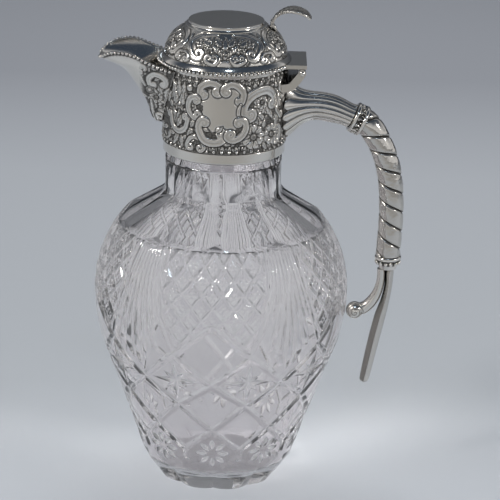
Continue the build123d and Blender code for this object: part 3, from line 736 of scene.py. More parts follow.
# --- Lid -------------------------------------------------------------------------------------------
def dome_chasing(height):
    """One panel of the dome; u is mm round at the mean radius, v is the way up the dome's side."""
    half = dome_mean_radius * pi / dome_panels
    panel = Chasing((-half, 0), (half, height), seed=5, mirrored=True)
    panel.height[:] = 0.0
    panel.dark[:] = dome_dark
    field = (panel.v > 3) & (panel.v < 14) & (np.abs(panel.u) < 19)
    panel.dark[field] = dome_field_dark
    panel.undergrowth(22, (0, 4.0), (13, 11.0))
    for base, tip, width in (((2.5, 7.0), (7.6, 12.0), 3.2), ((5.5, 6.4), (12.0, 9.6), 3.2),
                             ((0.0, 8.6), (0.0, 16.4), 4.0), ((7.0, 4.6), (11.6, 4.4), 2.6),
                             ((2.0, 11.0), (6.6, 16.4), 3.6), ((9.0, 11.0), (14.0, 14.6), 3.4),
                             ((12.4, 8.6), (17.4, 11.4), 3.0), ((11.6, 5.6), (14.6, 9.6), 2.6),
                             ((1.6, 4.0), (3.4, 9.4), 2.8)):
        panel.leaf(base, tip, width)
    panel.bud((0.0, 5.0), 90, 3.6)
    panel.daisy((9.0, 8.0), 2.2, petals=6)
    panel.leaf((24.3, 8.0), (24.3, 17.5), 3.8)
    panel.leaf((22.2, 2.4), (24.2, 6.0), 2.0, lobes=0)
    for form in (
        ([(5.6, 18.8), (11.2, 18.6), (17.6, 17.0), (21.6, 13.6), (21.9, 10.4), (20.2, 7.2),
          (17.4, 4.2)], 3.0, None, (14.6, 6.4)),
        ([(8.8, 2.0), (5.4, 1.2), (3.6, 3.6)], 1.9, (8.4, 4.4), (5.6, 4.4)),
        ([(24.4, 6.0), (21.6, 5.6), (20.0, 2.6)], 1.6, None, (21.8, 2.8)),
    ):
        panel.scroll(*form)
    panel.height *= np.clip(np.minimum(panel.v, height - panel.v) / dome_edge, 0, 1)
    return panel


def dome_piece(material):
    """Dome of four chased panels, with its plain underside."""
    line = smooth_line(dome_outline, 400)
    length = line_length(line)
    panel = dome_chasing(length[-1])
    place = np.stack([np.interp(panel.v[:, 0], length, line[:, i]) for i in (0, 1)], axis=-1)
    run = np.gradient(place, axis=0)
    normal = np.stack([run[:, 1], -run[:, 0]], axis=-1) / np.hypot(run[:, 0], run[:, 1])[:, None]
    height = np.tile(panel.height[:, :-1], dome_panels)
    dark = np.tile(panel.dark[:, :-1], dome_panels)
    columns = height.shape[1]
    # panels are centred on the front, -90 degrees
    angle = -pi / 2 - pi / dome_panels + 2 * pi * np.arange(columns) / columns
    (skirt_radius, skirt_level), (_, top_level) = dome_outline[0], dome_outline[-1]
    inset = place - dome_wall * normal
    plain = [(dome_hole_radius, top_level), (dome_hole_radius, top_level - dome_wall)]
    plain += [tuple(p) for p in inset[::-6] if p[1] > skirt_level + 0.2 and p[0] > dome_hole_radius]
    plain += [(skirt_radius - dome_wall, skirt_level)]
    plain = np.tile(np.array(plain)[:, :, None], columns)
    radius = np.vstack([place[:, :1] + normal[:, :1] * height, plain[:, 0]])
    level = np.vstack([place[:, 1:] + normal[:, 1:] * height, plain[:, 1]])
    dark = np.vstack([dark, np.zeros(plain[:, 0].shape)])
    points = turned(radius, angle, level).reshape(-1, 3)
    faces = ring_quads(len(radius), columns, closed=True).tolist()
    piece = add_piece("chased_dome", points, faces, material, "lid", "chased_silver", dark=dark)
    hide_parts("lid_dome")


def ball(middle, radius, axis, stretch=1.0, rings=8, sides=12):
    """Points and faces of a bead; its poles lie along the axis and stretch lengthens it there."""
    axis = Vector(axis).normalized()
    side = axis.orthogonal().normalized()
    other = axis.cross(side)
    points = [Vector(middle) - radius * stretch * axis]
    for i in range(1, rings):
        a = pi * i / rings
        for k in range(sides):
            b = 2 * pi * k / sides
            across = radius * sin(a) * (cos(b) * side + sin(b) * other)
            points.append(Vector(middle) - radius * stretch * cos(a) * axis + across)
    points.append(Vector(middle) + radius * stretch * axis)
    faces = [(0, 1 + (k + 1) % sides, 1 + k) for k in range(sides)]
    for i in range(rings - 2):
        for k in range(sides):
            a, b = 1 + i * sides + k, 1 + i * sides + (k + 1) % sides
            faces.append((a, b, b + sides, a + sides))
    last = 1 + (rings - 2) * sides
    faces += [(last + k, last + (k + 1) % sides, last + sides) for k in range(sides)]
    return points, faces


def bead_row(name, middles, radius, axes, material, body, stretch=1.0):
    """Row of beads as one piece."""
    points, faces = [], []
    for middle, axis in zip(middles, axes):
        ball_points, ball_faces = ball(middle, radius, axis, stretch)
        faces += [tuple(i + len(points) for i in face) for face in ball_faces]
        points += ball_points
    return add_piece(name, [tuple(p) for p in points], faces, material, body, "polished_silver",
                     dark=np.zeros(len(points)))


def lid_beads(material):
    radius, height = lid_bead_ring
    middles = []
    for k in range(lid_bead_count):
        a = 2 * pi * (k + 0.5) / lid_bead_count
        x, y = radius * cos(a), radius * sin(a)
        if x < 0 or abs(y) > leaf_half_width + lid_bead_radius:
            middles.append((x, y, height))
    axes = [(0, 0, 1)] * len(middles)
    piece = bead_row("lid_bead_row", middles, lid_bead_radius, axes, material, "lid", lid_bead_stretch)
    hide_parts("lid_beading")


# --- Spout -----------------------------------------------------------------------------------------
def spout_chasing():
    """Side of the spout seen square on; u is the jug's x and v is the height above the collar's foot."""
    side = Chasing((-70, -2), (-26, 52), seed=7)
    side.undergrowth(130, (-52, 0), (-26, 48))
    for form in (
        ((-33.5, 26.0), (-35.8, 33.6), 3.6), ((-31.0, 24.0), (-30.0, 33.0), 4.0),
        ((-40.0, 40.5), (-44.0, 44.6), 3.6), ((-37.0, 41.5), (-38.6, 46.6), 3.4),
        ((-33.4, 40.4), (-33.0, 45.6), 3.2), ((-42.0, 38.0), (-46.6, 41.4), 3.2),
    ):
        side.leaf(*form)
    side.daisy((-36.6, 24.6), 3.6, petals=7)
    side.daisy((-32.2, 19.8), 3.2, petals=7)
    side.leaf((-38.6, 21.0), (-40.6, 15.4), 3.2)
    side.leaf((-35.6, 17.4), (-31.0, 12.6), 3.6)
    side.scroll([(-40.3, 32.6), (-40.6, 35.8), (-38.2, 38.6), (-34.8, 38.6), (-31.8, 36.6), (-31.0, 33.8)],
                3.0, (-38.3, 32.3), (-32.8, 33.4))
    side.scroll([(-38.4, 30.0), (-36.0, 27.6)], 1.4)
    side.boss((-40.2, 28.6), 1.9)
    side.boss((-40.2, 28.6), 0.9)
    for form in (
        ([(-39.6, 22.4), (-38.6, 15.0), (-36.2, 9.4), (-33.0, 5.0)], 1.8, None, (-31.4, 6.8)),
        ([(-36.6, 13.4), (-35.6, 9.8)], 1.6, (-34.6, 12.4), None),
        ([(-49.4, 42.6), (-47.0, 44.4), (-43.6, 43.6)], 2.0, (-48.4, 40.8), (-44.0, 41.6)),
        ([(-46.6, 37.0), (-44.4, 34.0), (-42.6, 30.6)], 1.8, (-45.4, 38.8), None),
    ):
        side.scroll(*form)
    return side


def remeshed(node, smooth=3):
    """Even mesh of a CAD node: its points and normals in mm, and its faces."""
    copy = bpy.data.objects.new("remeshing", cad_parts[node].data.copy())
    bpy.context.scene.collection.objects.link(copy)
    modifier = copy.modifiers.new("even", "REMESH")
    modifier.mode = "VOXEL"
    modifier.voxel_size = voxels[node] * MM
    copy.modifiers.new("smooth", "SMOOTH").iterations = smooth
    mesh = bpy.data.meshes.new_from_object(copy.evaluated_get(bpy.context.evaluated_depsgraph_get()))
    bpy.data.objects.remove(copy)
    count = len(mesh.vertices)
    points, normals = np.empty(3 * count), np.empty(3 * count)
    mesh.vertices.foreach_get("co", points)
    mesh.vertex_normals.foreach_get("vector", normals)
    faces = [tuple(p.vertices) for p in mesh.polygons]
    bpy.data.meshes.remove(mesh)
    return points.reshape(-1, 3) / MM, normals.reshape(-1, 3), faces


def relief_of(points, normals, faces, rounds):
    """How far each point stands proud of a smoothed copy of its surface; valleys are below zero."""
    edges = np.array([pair for face in faces for pair in zip(face, face[1:] + face[:1])])
    count = np.bincount(edges[:, 0], minlength=len(points))[:, None]
    soft = points.copy()
    for _ in range(rounds):
        sums = [np.bincount(edges[:, 0], soft[edges[:, 1], i], len(points)) for i in range(3)]
        soft = 0.5 * soft + 0.5 * np.stack(sums, axis=-1) / np.maximum(count, 1)
    return ((points - soft) * normals).sum(axis=1)


def spout_bead_middles():
    """Along the outside of the poured edge, on both sides from near the tip back to the collar."""
    tree = node_tree_of("spout")
    line = smooth_line([(-x, z) for x, z in spout_edge], 600)
    middles = []
    for side in (-1, 1):
        path = []
        for x, z in line:
            if not spout_bead_span[0] < x < spout_bead_span[1]:
                continue
            level = z - spout_bead_drop
            place = tree.ray_cast(Vector((x, 60 * side, level)), Vector((0, -side, 0)))[0]
            if place is not None and hypot(place.x, place.y) > collar_radius + 0.3:
                path.append((x, place.y + spout_bead_out * side, level))
        path = np.array(path)
        length = line_length(path)
        count = round(length[-1] / spout_bead_pitch)
        along = (np.arange(count) + 0.5) * length[-1] / count
        middles += [tuple(np.interp(a, length, path[:, i]) for i in range(3)) for a in along]
    return middles


def spout_piece(material, beads):
    """Spout with the chasing on its outside, fading into a plain lip, and tarnish behind the beads."""
    points, normals, faces = remeshed("spout")
    side = spout_chasing()
    column = (points[:, 0] - side.low[0]) / side.steps[0]
    row = (points[:, 2] - collar_bottom - side.low[1]) / side.steps[1]
    c = np.clip(column.astype(int), 0, side.u.shape[1] - 2)
    r = np.clip(row.astype(int), 0, side.u.shape[0] - 2)
    fc, fr = column - c, row - r

    def read(field):
        low = field[r, c] * (1 - fc) + field[r, c + 1] * fc
        high = field[r + 1, c] * (1 - fc) + field[r + 1, c + 1] * fc
        return low * (1 - fr) + high * fr

    outward = (normals[:, 1] * np.sign(points[:, 1]) > 0.05) | (normals[:, 2] < -0.2) | (normals[:, 0] < -0.3)
    fade = np.clip((points[:, 0] - spout_plain_beyond) / spout_fades[0], 0, 1) * outward
    fade *= np.clip((np.hypot(points[:, 0], points[:, 1]) - collar_radius) / spout_fades[1], 0, 1)
    points = points + normals * (read(side.height) * fade)[:, None]
    dark = read(side.dark) * fade
    for bead in beads:
        gap = np.linalg.norm(points - bead, axis=1) / spout_bead_radius
        dark = np.maximum(dark, np.clip(spout_tarnish_reach - gap, 0, 1) * (normals[:, 2] < 0.3))
    piece = add_piece("chased_spout", points, faces, material, "jug", "chased_silver", dark=dark)
    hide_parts("spout")


def spout_beads(material, middles):
    axes = [(0, 0, 1)] * len(middles)
    piece = bead_row("spout_bead_row", middles, spout_bead_radius, axes, material, "jug")
    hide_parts("spout_beading")


# --- Handle ----------------------------------------------------------------------------------------
ring_middle = (72.5, 206.6)   # (x, height) of the upper ring, on the handle's line
ring_slope = -25.0            # direction of the line there, degrees above +X
ring_half_width = 3.4
ring_edge = 8.7
ring_edge_round = 1.0
ring_floor = 7.4
ring_bore = 4.0
ring_leaves = 13
ring_relief = 0.5             # depth of its ground, and its tarnish, as shares of the collar's
ring_tarnish = 0.8
grip_start = (74.5, 205.75)
grip_end = (91.8, 129.4)
grip_bend = [(0.343, 0.066), (0.677, 0.204), (0.896, 0.356), (1.006, 0.521), (1.040, 0.717)]
grip_leads = (2.5, 3.0)       # straight starts at its two ends
grip_radius = 6.55            # at the grooves' lips
grip_start_radius = 7.0
grip_taper = 0.2
grip_crown = 0.32             # how far the metal swells between two grooves
grip_crown_lean = 0.35
grip_crown_power = 0.75
grip_turns = -3.92
grip_groove_depth = 0.8
grip_groove_share = 0.055     # half width as a share of one turn
grip_groove_fall = 0.8        # tarnish fades from the groove's middle with this power of its depth
grip_sides = 96
grip_rows = 330
reed_count = 14
reed_middle = 210.2           # height of the arm's middle at the collar
reed_reach = (12.2, 13.2)     # half width and half depth there
reed_end = 2.2                # how far the valleys stop short of the wall
reed_end_depth = 0.6
reed_relief = 0.7             # how much deeper than in the CAD the valleys are
reed_tarnish = (0.75, 0.8)    # at the reeds' ends, in the valleys
relief_rounds = {"arm": 26, "scroll": 20}    # of smoothing, to tell valleys from ridges
arm_flare = (7.0, 4.5)        # rise of the top reed at the wall, and the reach over which it fades
ball_middle = (74.6, 96.2)
ball_radius = 4.9
spiral_pitch = 1.9
spiral_half_width = 0.32
spiral_depth = 0.25
lower_ring_middle = grip_end
lower_ring_tarnish = 0.85
lower_ring_dark_span = (-5.6, -2.6)    # heights of the tarnish behind the beads, from the middle
lower_ring_dark_fades = (0.4, 0.3)
lower_bead_ring = (6.3, -3.9)          # (radius, height from the middle)
lower_bead_radius = 1.05
lower_bead_count = 14
lower_bead_stretch = 1.15
# (out from the widest ring, up from it, depth in the handle's plane, width across), as its CAD node
tail_stations = [(23.1, 12.4, 4.9, 7.2), (22.7, 2.5, 4.4, 7.2), (21.2, -6.6, 4.9, 7.2),
                 (18.8, -16.0, 6.2, 7.2), (15.3, -33.0, 6.2, 7.0), (11.2, -55.0, 5.4, 6.0)]
tail_rows = 90
tail_side_points = 10
tail_side_bulge = 0.06
tail_end_round = 0.22
tail_tarnish_and_shade = 0.52           # tarnish and painted shade of the two sides towards the jug
tail_dark_row = 30         # it grows with the way down in units of this, less the share that stays plain
tail_plain_share = 0.3
band_columns = 720
band_radius = 33.1
band_bore = 32.4
band_bottom = 188.6
band_roll = 0.4
seam_angle = -34.0            # butt joint of the band's strip
seam_half_width = 0.3
seam_depth = 0.45
band_waves = (3, 5, 8, 13)    # waves round the worn band, and the depth of each
band_wave_depth = 0.02
leaf_rib = (0.55, 0.28)       # the thumbpiece's two ribs: distance from the middle, half width
leaf_pitch = 2.6              # of its side veins
leaf_slant = 0.75
leaf_vein = (0.17, 1.0, 0.8)  # half width as a share of the pitch, start, and length of its fade
leaf_pit = (0.05, 2.4)        # middle along the slant as a share of the pitch, and across
leaf_pit_reach = (0.24, 1.6)
leaf_pit_size = 1.6
leaf_carving = 0.42
leaf_tarnish = 0.25
pin_head_place = (41.0, 15.25, 235.1)    # the one on the far side
pin_head_radius = 1.35
pin_head_dome = 0.45


def tube_points(line, across, up):
    """Points round a line in the handle's plane, from their distances across that plane and up in it."""
    run = np.gradient(line, axis=0)
    run /= np.hypot(run[:, 0], run[:, 1])[:, None]
    x = line[:, :1] - run[:, 1:] * up
    z = line[:, 1:] + run[:, :1] * up
    return np.stack([x, across, z], axis=-1).reshape(-1, 3)


def capped_tube(rows, columns):
    """Faces of a closed tube of rings, with both ends filled."""
    faces = ring_quads(rows, columns)[:, ::-1].tolist()
    last = (rows - 1) * columns
    return faces + [list(range(columns)), list(range(last + columns - 1, last - 1, -1))]


def grip_piece(material):
    """Grip cast as a two-start twist: shallow swelling turns parted by narrow dark grooves."""
    way = np.subtract(grip_end, grip_start)
    slope = radians(ring_slope)
    lead_in = np.add(grip_start, (grip_leads[0] * cos(slope), grip_leads[0] * sin(slope)))
    lead_out = np.add(grip_end, (0, grip_leads[1]))
    bends = [np.add(grip_start, share * way) for share in np.array(grip_bend)]
    line = smooth_line([grip_start, lead_in, *bends, lead_out, grip_end], 1500)
    length = line_length(line)
    share = np.linspace(0, 1, grip_rows)
    line = np.stack([np.interp(share * length[-1], length, line[:, i]) for i in (0, 1)], axis=-1)
    angle = 2 * pi * np.arange(grip_sides) / grip_sides
    turn = (angle[None, :] - 2 * pi * grip_turns * share[:, None]) / pi
    phase = turn - np.floor(turn)
    crown = np.sin(pi * phase) ** grip_crown_power * (1 + grip_crown_lean * (phase - 0.5))
    groove = np.exp(-((0.5 - np.abs(phase - 0.5)) / grip_groove_share) ** 2)
    swell = (grip_start_radius - grip_radius) * np.clip(1 - share / grip_taper, 0, 1)[:, None]
    radius = grip_radius + swell + grip_crown * crown - grip_groove_depth * groove
    points = tube_points(line, radius * np.cos(angle), radius * np.sin(angle))
    faces = capped_tube(grip_rows, grip_sides)
    dark = groove ** grip_groove_fall
    piece = add_piece("twisted_grip", points, faces, material, "jug", "polished_silver", dark=dark)
    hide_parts("handle_grip")


def foliate_ring(material):
    """Upper ring: two raised edges and a band of small leaves between them."""
    width = 2 * (ring_half_width - 1.4 * ring_edge_round)
    around = 2 * pi * ring_floor
    band = Chasing((0, 0), (around, width), seed=11, step=0.2)
    band.height *= ring_relief
    band.dark *= ring_tarnish
    pitch = around / ring_leaves
    for k in range(ring_leaves + 1):
        band.petal((k * pitch, 0.1), 90, width - 0.2, 0.66 * pitch, rise=1.1)
        band.boss(((k + 0.5) * pitch, 0.7 * width), 0.24 * pitch, rise=1.0)
    columns = band.u.shape[1] - 1
    edge = [(ring_bore, -ring_half_width)]            # (radius, place along the handle)
    for a in np.linspace(-pi / 2, pi / 2, 9):
        radius = ring_edge - ring_edge_round * (1 - cos(a))
        edge.append((radius, ring_edge_round * (1 + sin(a)) - ring_half_width))
    edge = np.tile(np.array(edge)[:, :, None], columns)
    plain = np.zeros(edge[:, 0].shape)
    radius = np.vstack([edge[:, 0], ring_floor + band.height[:, :-1], edge[::-1, 0]])
    along = np.vstack([edge[:, 1], band.v[:, :-1] - width / 2, -edge[::-1, 1]])
    dark = np.vstack([plain, band.dark[:, :-1], plain])
    angle = 2 * pi * np.arange(columns) / columns
    slope = radians(ring_slope)
    across, up = radius * np.cos(angle), radius * np.sin(angle)
    x = ring_middle[0] + along * cos(slope) - up * sin(slope)
    z = ring_middle[1] + along * sin(slope) + up * cos(slope)
    points = np.stack([x, across, z], axis=-1).reshape(-1, 3)
    faces = capped_tube(len(radius), columns)
    piece = add_piece("foliate_ring", points, faces, material, "jug", "chased_silver", dark=dark)
    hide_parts("handle_upper_ring")


def lower_ring_piece(material):
    """Lower ring, tarnished behind its beads."""
    points, normals, faces = remeshed("handle_lower_ring", smooth=1)
    height = points[:, 2] - lower_ring_middle[1]
    (low, high), (fade_in, fade_out) = lower_ring_dark_span, lower_ring_dark_fades
    dark = np.clip((height - low) / fade_in, 0, 1) * np.clip((high - height) / fade_out, 0, 1)
    dark *= lower_ring_tarnish
    piece = add_piece("tarnished_lower_ring", points, faces, material, "jug", "polished_silver", dark=dark)
    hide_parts("handle_lower_ring")


def lower_ring_beads(material):
    (x, height), (radius, up) = lower_ring_middle, lower_bead_ring
    angles = 2 * pi * np.arange(lower_bead_count) / lower_bead_count
    middles = [(x + radius * cos(a), radius * sin(a), height + up) for a in angles]
    axes = [(0, 0, 1)] * lower_bead_count
    bead_row("lower_ring_beads", middles, lower_bead_radius, axes, material, "jug", lower_bead_stretch)


def thumbpiece_piece(material):
    """Leaf with a carved mid-rib, side veins and pits on its upper face."""
    points, normals, faces = remeshed("thumbpiece")
    x, y = points[:, 0], np.abs(points[:, 1])
    along = (x - x.min()) / np.ptp(x)
    upper = np.clip(normals[:, 2] * 3, 0, 1) + np.clip(-normals[:, 0] * 1.6, 0, 1) * (along < 0.35)
    upper = np.clip(upper, 0, 1)
    rib = np.exp(-((y - leaf_rib[0]) / leaf_rib[1]) ** 2)
    slant = (along * np.ptp(x) + leaf_slant * y) / leaf_pitch
    vein_width, vein_start, vein_fade = leaf_vein
    vein = np.clip(1 - np.abs(slant % 1 - 0.5) / vein_width, 0, 1)
    vein *= np.clip((y - vein_start) / vein_fade, 0, 1)
    pit_u, pit_v = (slant % 1 - leaf_pit[0]) / leaf_pit_reach[0], (y - leaf_pit[1]) / leaf_pit_reach[1]
    pit = np.clip(leaf_pit_size - np.hypot(pit_u, pit_v), 0, 1)
    carved = np.maximum(np.maximum(rib, vein), pit) * upper
    points = points - normals * (leaf_carving * carved)[:, None]
    dark = np.maximum(carved ** 0.7, leaf_tarnish * upper)
    piece = add_piece("carved_thumbpiece", points, faces, material, "lid", "polished_silver", dark=dark)
    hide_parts("thumbpiece")


def arm_piece(material):
    """Reeded arm: deep valleys, and reeds that end in round lobes against the collar's wall."""
    points, normals, faces = remeshed("handle_arm", smooth=1)
    detail = relief_of(points, normals, faces, relief_rounds["arm"])
    clear = np.hypot(points[:, 0], points[:, 1]) - collar_radius
    t = np.arctan2((points[:, 2] - reed_middle) / reed_reach[1], points[:, 1] / reed_reach[0])
    beside_ridge = np.abs((t * reed_count / (2 * pi) + 0.5) % 1 - 0.5) * 2
    scallop = reed_end * (1 - np.sqrt(np.clip(1 - beside_ridge ** 2, 0, 1)))
    ended = np.clip(1 - (clear - scallop) / 0.8, 0, 1) * (clear < 2 * reed_end)
    valley = np.clip(-detail / 0.12, 0, 1)
    lift = reed_relief * np.clip(detail, -0.5, 0.1) - reed_end_depth * ended * (clear > 0.02)
    points = points + normals * lift[:, None]
    dark = np.maximum(reed_tarnish[0] * ended, reed_tarnish[1] * valley ** 1.3)
    rise, reach = arm_flare
    upper = np.clip((points[:, 2] - reed_middle) / reed_reach[1], 0, 1) ** 2
    points[:, 2] += rise * upper * np.exp(-np.maximum(clear, 0) / reach) * np.clip(clear / 0.5, 0, 1)
    piece = add_piece("reeded_arm", points, faces, material, "jug", "polished_silver", dark=dark)
    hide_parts("handle_arm")


def scroll_piece(material):
    """Lower scroll with a spiral engraved on both sides of its ball."""
    points, normals, faces = remeshed("handle_scroll", smooth=1)
    detail = relief_of(points, normals, faces, relief_rounds["scroll"])
    x, z = points[:, 0] - ball_middle[0], points[:, 2] - ball_middle[1]
    reach, angle = np.hypot(x, z), np.arctan2(z, x) / (2 * pi)
    turn = (reach / spiral_pitch - angle * np.sign(points[:, 1])) % 1
    line = np.clip(1 - np.abs(turn - 0.5) * spiral_pitch / spiral_half_width, 0, 1)
    line *= (reach < 1.05 * ball_radius) * np.clip(np.abs(normals[:, 1]) * 2.5 - 0.6, 0, 1)
    points = points - normals * (spiral_depth * line)[:, None]
    dark = np.maximum(line, np.clip(-detail / 0.2, 0, 0.8))
    piece = add_piece("engraved_scroll", points, faces, material, "jug", "polished_silver", dark=dark)
    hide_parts("handle_scroll")


def tail_piece(material):
    """Tail as a bar with four nearly flat sides, a crisp ridge towards each side, and a blunt end."""
    stations = smooth_line(tail_stations, tail_rows)
    line = stations[:, :2] + belly
    side = np.linspace(0, 1, tail_side_points, endpoint=False)
    bulge = 4 * tail_side_bulge * side * (1 - side)
    section = []                                      # (across, up), half a width and half a depth at most
    for k in range(4):
        corner, after = [np.array([cos(pi / 2 * i), sin(pi / 2 * i)]) for i in (k, k + 1)]
        section.append(corner + np.outer(side, after - corner) + np.outer(bulge, corner + after))
    section = np.concatenate(section)
    row = np.arange(tail_rows)
    blunt = 1 - tail_end_round * np.exp(-np.minimum(row, row[::-1]) / 1.2)
    half_depth, half_width = 0.5 * stations[:, 2:].T * blunt
    points = tube_points(line, np.outer(half_width, section[:, 0]), np.outer(half_depth, section[:, 1]))
    # tarnish and painted shade: the two sides that face the jug are darkened
    towards_jug = section[:, 1] < -0.04
    grown = np.clip(row / tail_dark_row - tail_plain_share, 0, 1)
    dark = tail_tarnish_and_shade * np.outer(grown, towards_jug)
    faces = capped_tube(tail_rows, len(section))
    piece = add_piece("ridged_tail", points, faces, material, "jug", "polished_silver", dark=dark)
    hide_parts("handle_tail")


def band_piece(material):
    """Plain band at the collar's foot, with the butt joint of its strip and light wear."""
    angle = 2 * pi * np.arange(band_columns) / band_columns
    off = np.abs((angle - radians(seam_angle) + pi) % (2 * pi) - pi) * band_radius
    groove = np.exp(-(off / seam_half_width) ** 2)
    random = np.random.default_rng(13)
    wave = sum(np.sin(k * angle + random.uniform(0, 2 * pi)) for k in band_waves) * band_wave_depth
    wear = seam_depth * groove + np.abs(wave)
    outline = [(band_bore, band_bottom), (band_radius - band_roll, band_bottom)]    # (radius, height)
    outline += [(band_radius, band_bottom + band_roll)]
    outline += [(band_radius, z) for z in np.linspace(band_bottom + 1, collar_bottom, 8)]
    outline += [(band_bore, collar_bottom)]
    radius, height = np.array(outline).T[:, :, None]
    outer = radius > band_bore
    points = turned(radius - outer * wear, angle, height).reshape(-1, 3)
    faces = ring_quads(len(outline), band_columns, closed=True).tolist()
    piece = add_piece("seamed_band", points, faces, material, "jug", "polished_silver", dark=outer * groove)
    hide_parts("collar_base_band")


def pin_heads(material):
    """Riveted ends of the hinge pin."""
    x, y, z = pin_head_place
    middles = [(x, side * y, z) for side in (-1, 1)]
    bead_row("hinge_pin_heads", middles, pin_head_radius, [(0, 1, 0)] * 2, material, "jug", pin_head_dome)


# --- Shader nodes ----------------------------------------------------------------------------------
def feed(tree, node, inputs):
    """Set a node's inputs: each is a number, a colour of three, or the output that feeds it."""
    for key, value in inputs.items():
        socket = node.inputs[key]
        if isinstance(value, bpy.types.NodeSocket):
            tree.links.new(value, socket)
        else:
            socket.default_value = (*value, 1) if socket.type == "RGBA" else value


def add_node(tree, kind, inputs, output=0, **settings):
    """Output of a new shader node, after its settings and inputs."""
    node = tree.nodes.new("ShaderNode" + kind)
    for key, value in settings.items():
        setattr(node, key, value)
    feed(tree, node, inputs)
    return node.outputs[output]


def mix(tree, share, low, high):
    """Colour between two: the first at share 0, the second at share 1."""
    return add_node(tree, "Mix", {0: share, 6: low, 7: high}, 2, data_type="RGBA")


def product(tree, value, factor, more=0.0):
    """value * factor + more."""
    return add_node(tree, "Math", {0: value, 1: factor, 2: more}, operation="MULTIPLY_ADD")


def span(tree, value, start, end, low=0.0, high=1.0, **settings):
    """Value carried from one range to another and held at its ends."""
    inputs = {"Value": value, "From Min": start, "From Max": end, "To Min": low, "To Max": high}
    return add_node(tree, "MapRange", inputs, **settings)


def split_place(tree, kind):
    """The three coordinates of a place, one output each."""
    place = add_node(tree, "TexCoord", {}, kind)
    split = tree.nodes.new("ShaderNodeSeparateXYZ")
    feed(tree, split, {"Vector": place})
    return split.outputs


def new_material(name):
    material = bpy.data.materials.new(name)
    material.use_nodes = True
    return material, material.node_tree, material.node_tree.nodes["Principled BSDF"]


# --- Materials -------------------------------------------------------------------------------------
glass_tint = (0.985, 0.978, 0.982)
glass_shadow = (0.94, 0.935, 0.935)    # light that a shadow ray keeps at each surface
glass_haze = 0.035                     # roughness of the least clear spots
cut_roughness = 0.22                   # more of it where a cut is fully pale
cut_clear = 0.4                        # light that such a cut still lets through
silver_tint = (0.82, 0.79, 0.737)
# painted shade: the silver tint darkened for the grip and the tail
shaded_silver_tint = (0.72, 0.692, 0.645)
cloud_tint = 0.9                       # share of the tint in the duller clouds
# tarnish and painted shade in the corners of the silver
corner_shade_tarnish_tint = (0.06, 0.054, 0.046)
corner_shade_reach = 2.2 * MM                 # corners closer than this are darkened, as tarnish and painted shade
corner_shade_most = 0.85
# tint of the 'dark' attribute: tarnish, and painted shade on the tail's sides towards the jug
dark_tarnish_shade_tint = (0.02, 0.018, 0.016)
soot_roughness = 0.35
plaster_tints = (0.62, 0.6, 0.55), (0.8, 0.78, 0.73)


def crystal():
    """Clear lead crystal, paler where its cuts scatter. Lamps shine through it, so that it throws the
    photograph's faint shadow."""
    material, tree, shader = new_material("crystal")
    place = add_node(tree, "TexCoord", {}, "Object")
    noise = add_node(tree, "TexNoise", {"Vector": place, "Scale": 180.0, "Detail": 3.0})
    haze = span(tree, noise, 0.0, 1.0, 0.0, glass_haze)
    pale = add_node(tree, "Attribute", {}, "Fac", attribute_name="pale")
    feed(tree, shader, {
        "Base Color": glass_tint,
        "IOR": 1.53,
        "Roughness": product(tree, pale, cut_roughness, haze),
        "Transmission Weight": span(tree, pale, 0.0, 1.0, 1.0, cut_clear),
    })
    through = add_node(tree, "BsdfTransparent", {"Color": glass_shadow})
    shadow_ray = add_node(tree, "LightPath", {}, "Is Shadow Ray")
    surface = add_node(tree, "MixShader", {0: shadow_ray, 1: shader.outputs["BSDF"], 2: through})
    feed(tree, tree.nodes["Material Output"], {"Surface": surface})
    return material


def silver(name, tint, roughness, scratch, dark_attribute=False, dents=0.0):
    """Silver, clouded and finely scratched, with tarnish and painted shade in its corners. Where a piece
    carries the attribute 'dark' it is tarnished, with painted shade on the tail's sides towards the jug, and
    dents give it the uneven face of worn castings."""
    material, tree, shader = new_material(name)
    place = add_node(tree, "TexCoord", {}, "Object")
    cloud = add_node(tree, "TexNoise", {"Vector": place, "Scale": 70.0, "Detail": 4.0, "Roughness": 0.6})
    colour = mix(tree, cloud, [c * cloud_tint for c in tint], tint)
    # tarnish and painted shade: the colour darkens where the occlusion node finds a corner
    hollow = add_node(tree, "AmbientOcclusion", {"Distance": corner_shade_reach}, "AO", samples=6, only_local=False)
    colour = mix(tree, span(tree, hollow, 0.72, 0.3, 0.0, corner_shade_most), colour, corner_shade_tarnish_tint)
    rough = span(tree, cloud, 0.0, 1.0, 0.7 * roughness, 1.4 * roughness)
    if dark_attribute:
        dark = add_node(tree, "Attribute", {}, "Fac", attribute_name="dark")
        # tarnish, and on the tail painted shade, where the 'dark' attribute is set
        colour = mix(tree, dark, colour, dark_tarnish_shade_tint)
        rough = product(tree, dark, soot_roughness, rough)
    fine = add_node(tree, "TexNoise", {"Vector": place, "Scale": 900.0, "Detail": 2.0})
    normal = add_node(tree, "Bump", {"Strength": scratch, "Distance": 0.2 * MM, "Height": fine})
    if dents:
        wide = add_node(tree, "TexNoise", {"Vector": place, "Scale": 300.0, "Detail": 1.0})
        inputs = {"Strength": dents, "Distance": 0.6 * MM, "Height": wide, "Normal": normal}
        normal = add_node(tree, "Bump", inputs)
    feed(tree, shader, {"Metallic": 1.0, "Base Color": colour, "Roughness": rough, "Normal": normal})
    return material


def plaster():
    material, tree, shader = new_material("plaster")
    noise = add_node(tree, "TexNoise", {"Scale": 400.0})
    feed(tree, shader, {"Base Color": mix(tree, noise, *plaster_tints), "Roughness": 0.9})
    return material


# --- Stage, in metres ------------------------------------------------------------------------------
sweep_half_width = 4.0
sweep_front = -2.5
sweep_back = 2.2              # where the floor starts to curve up
sweep_bend = 0.9
sweep_top = 3.0
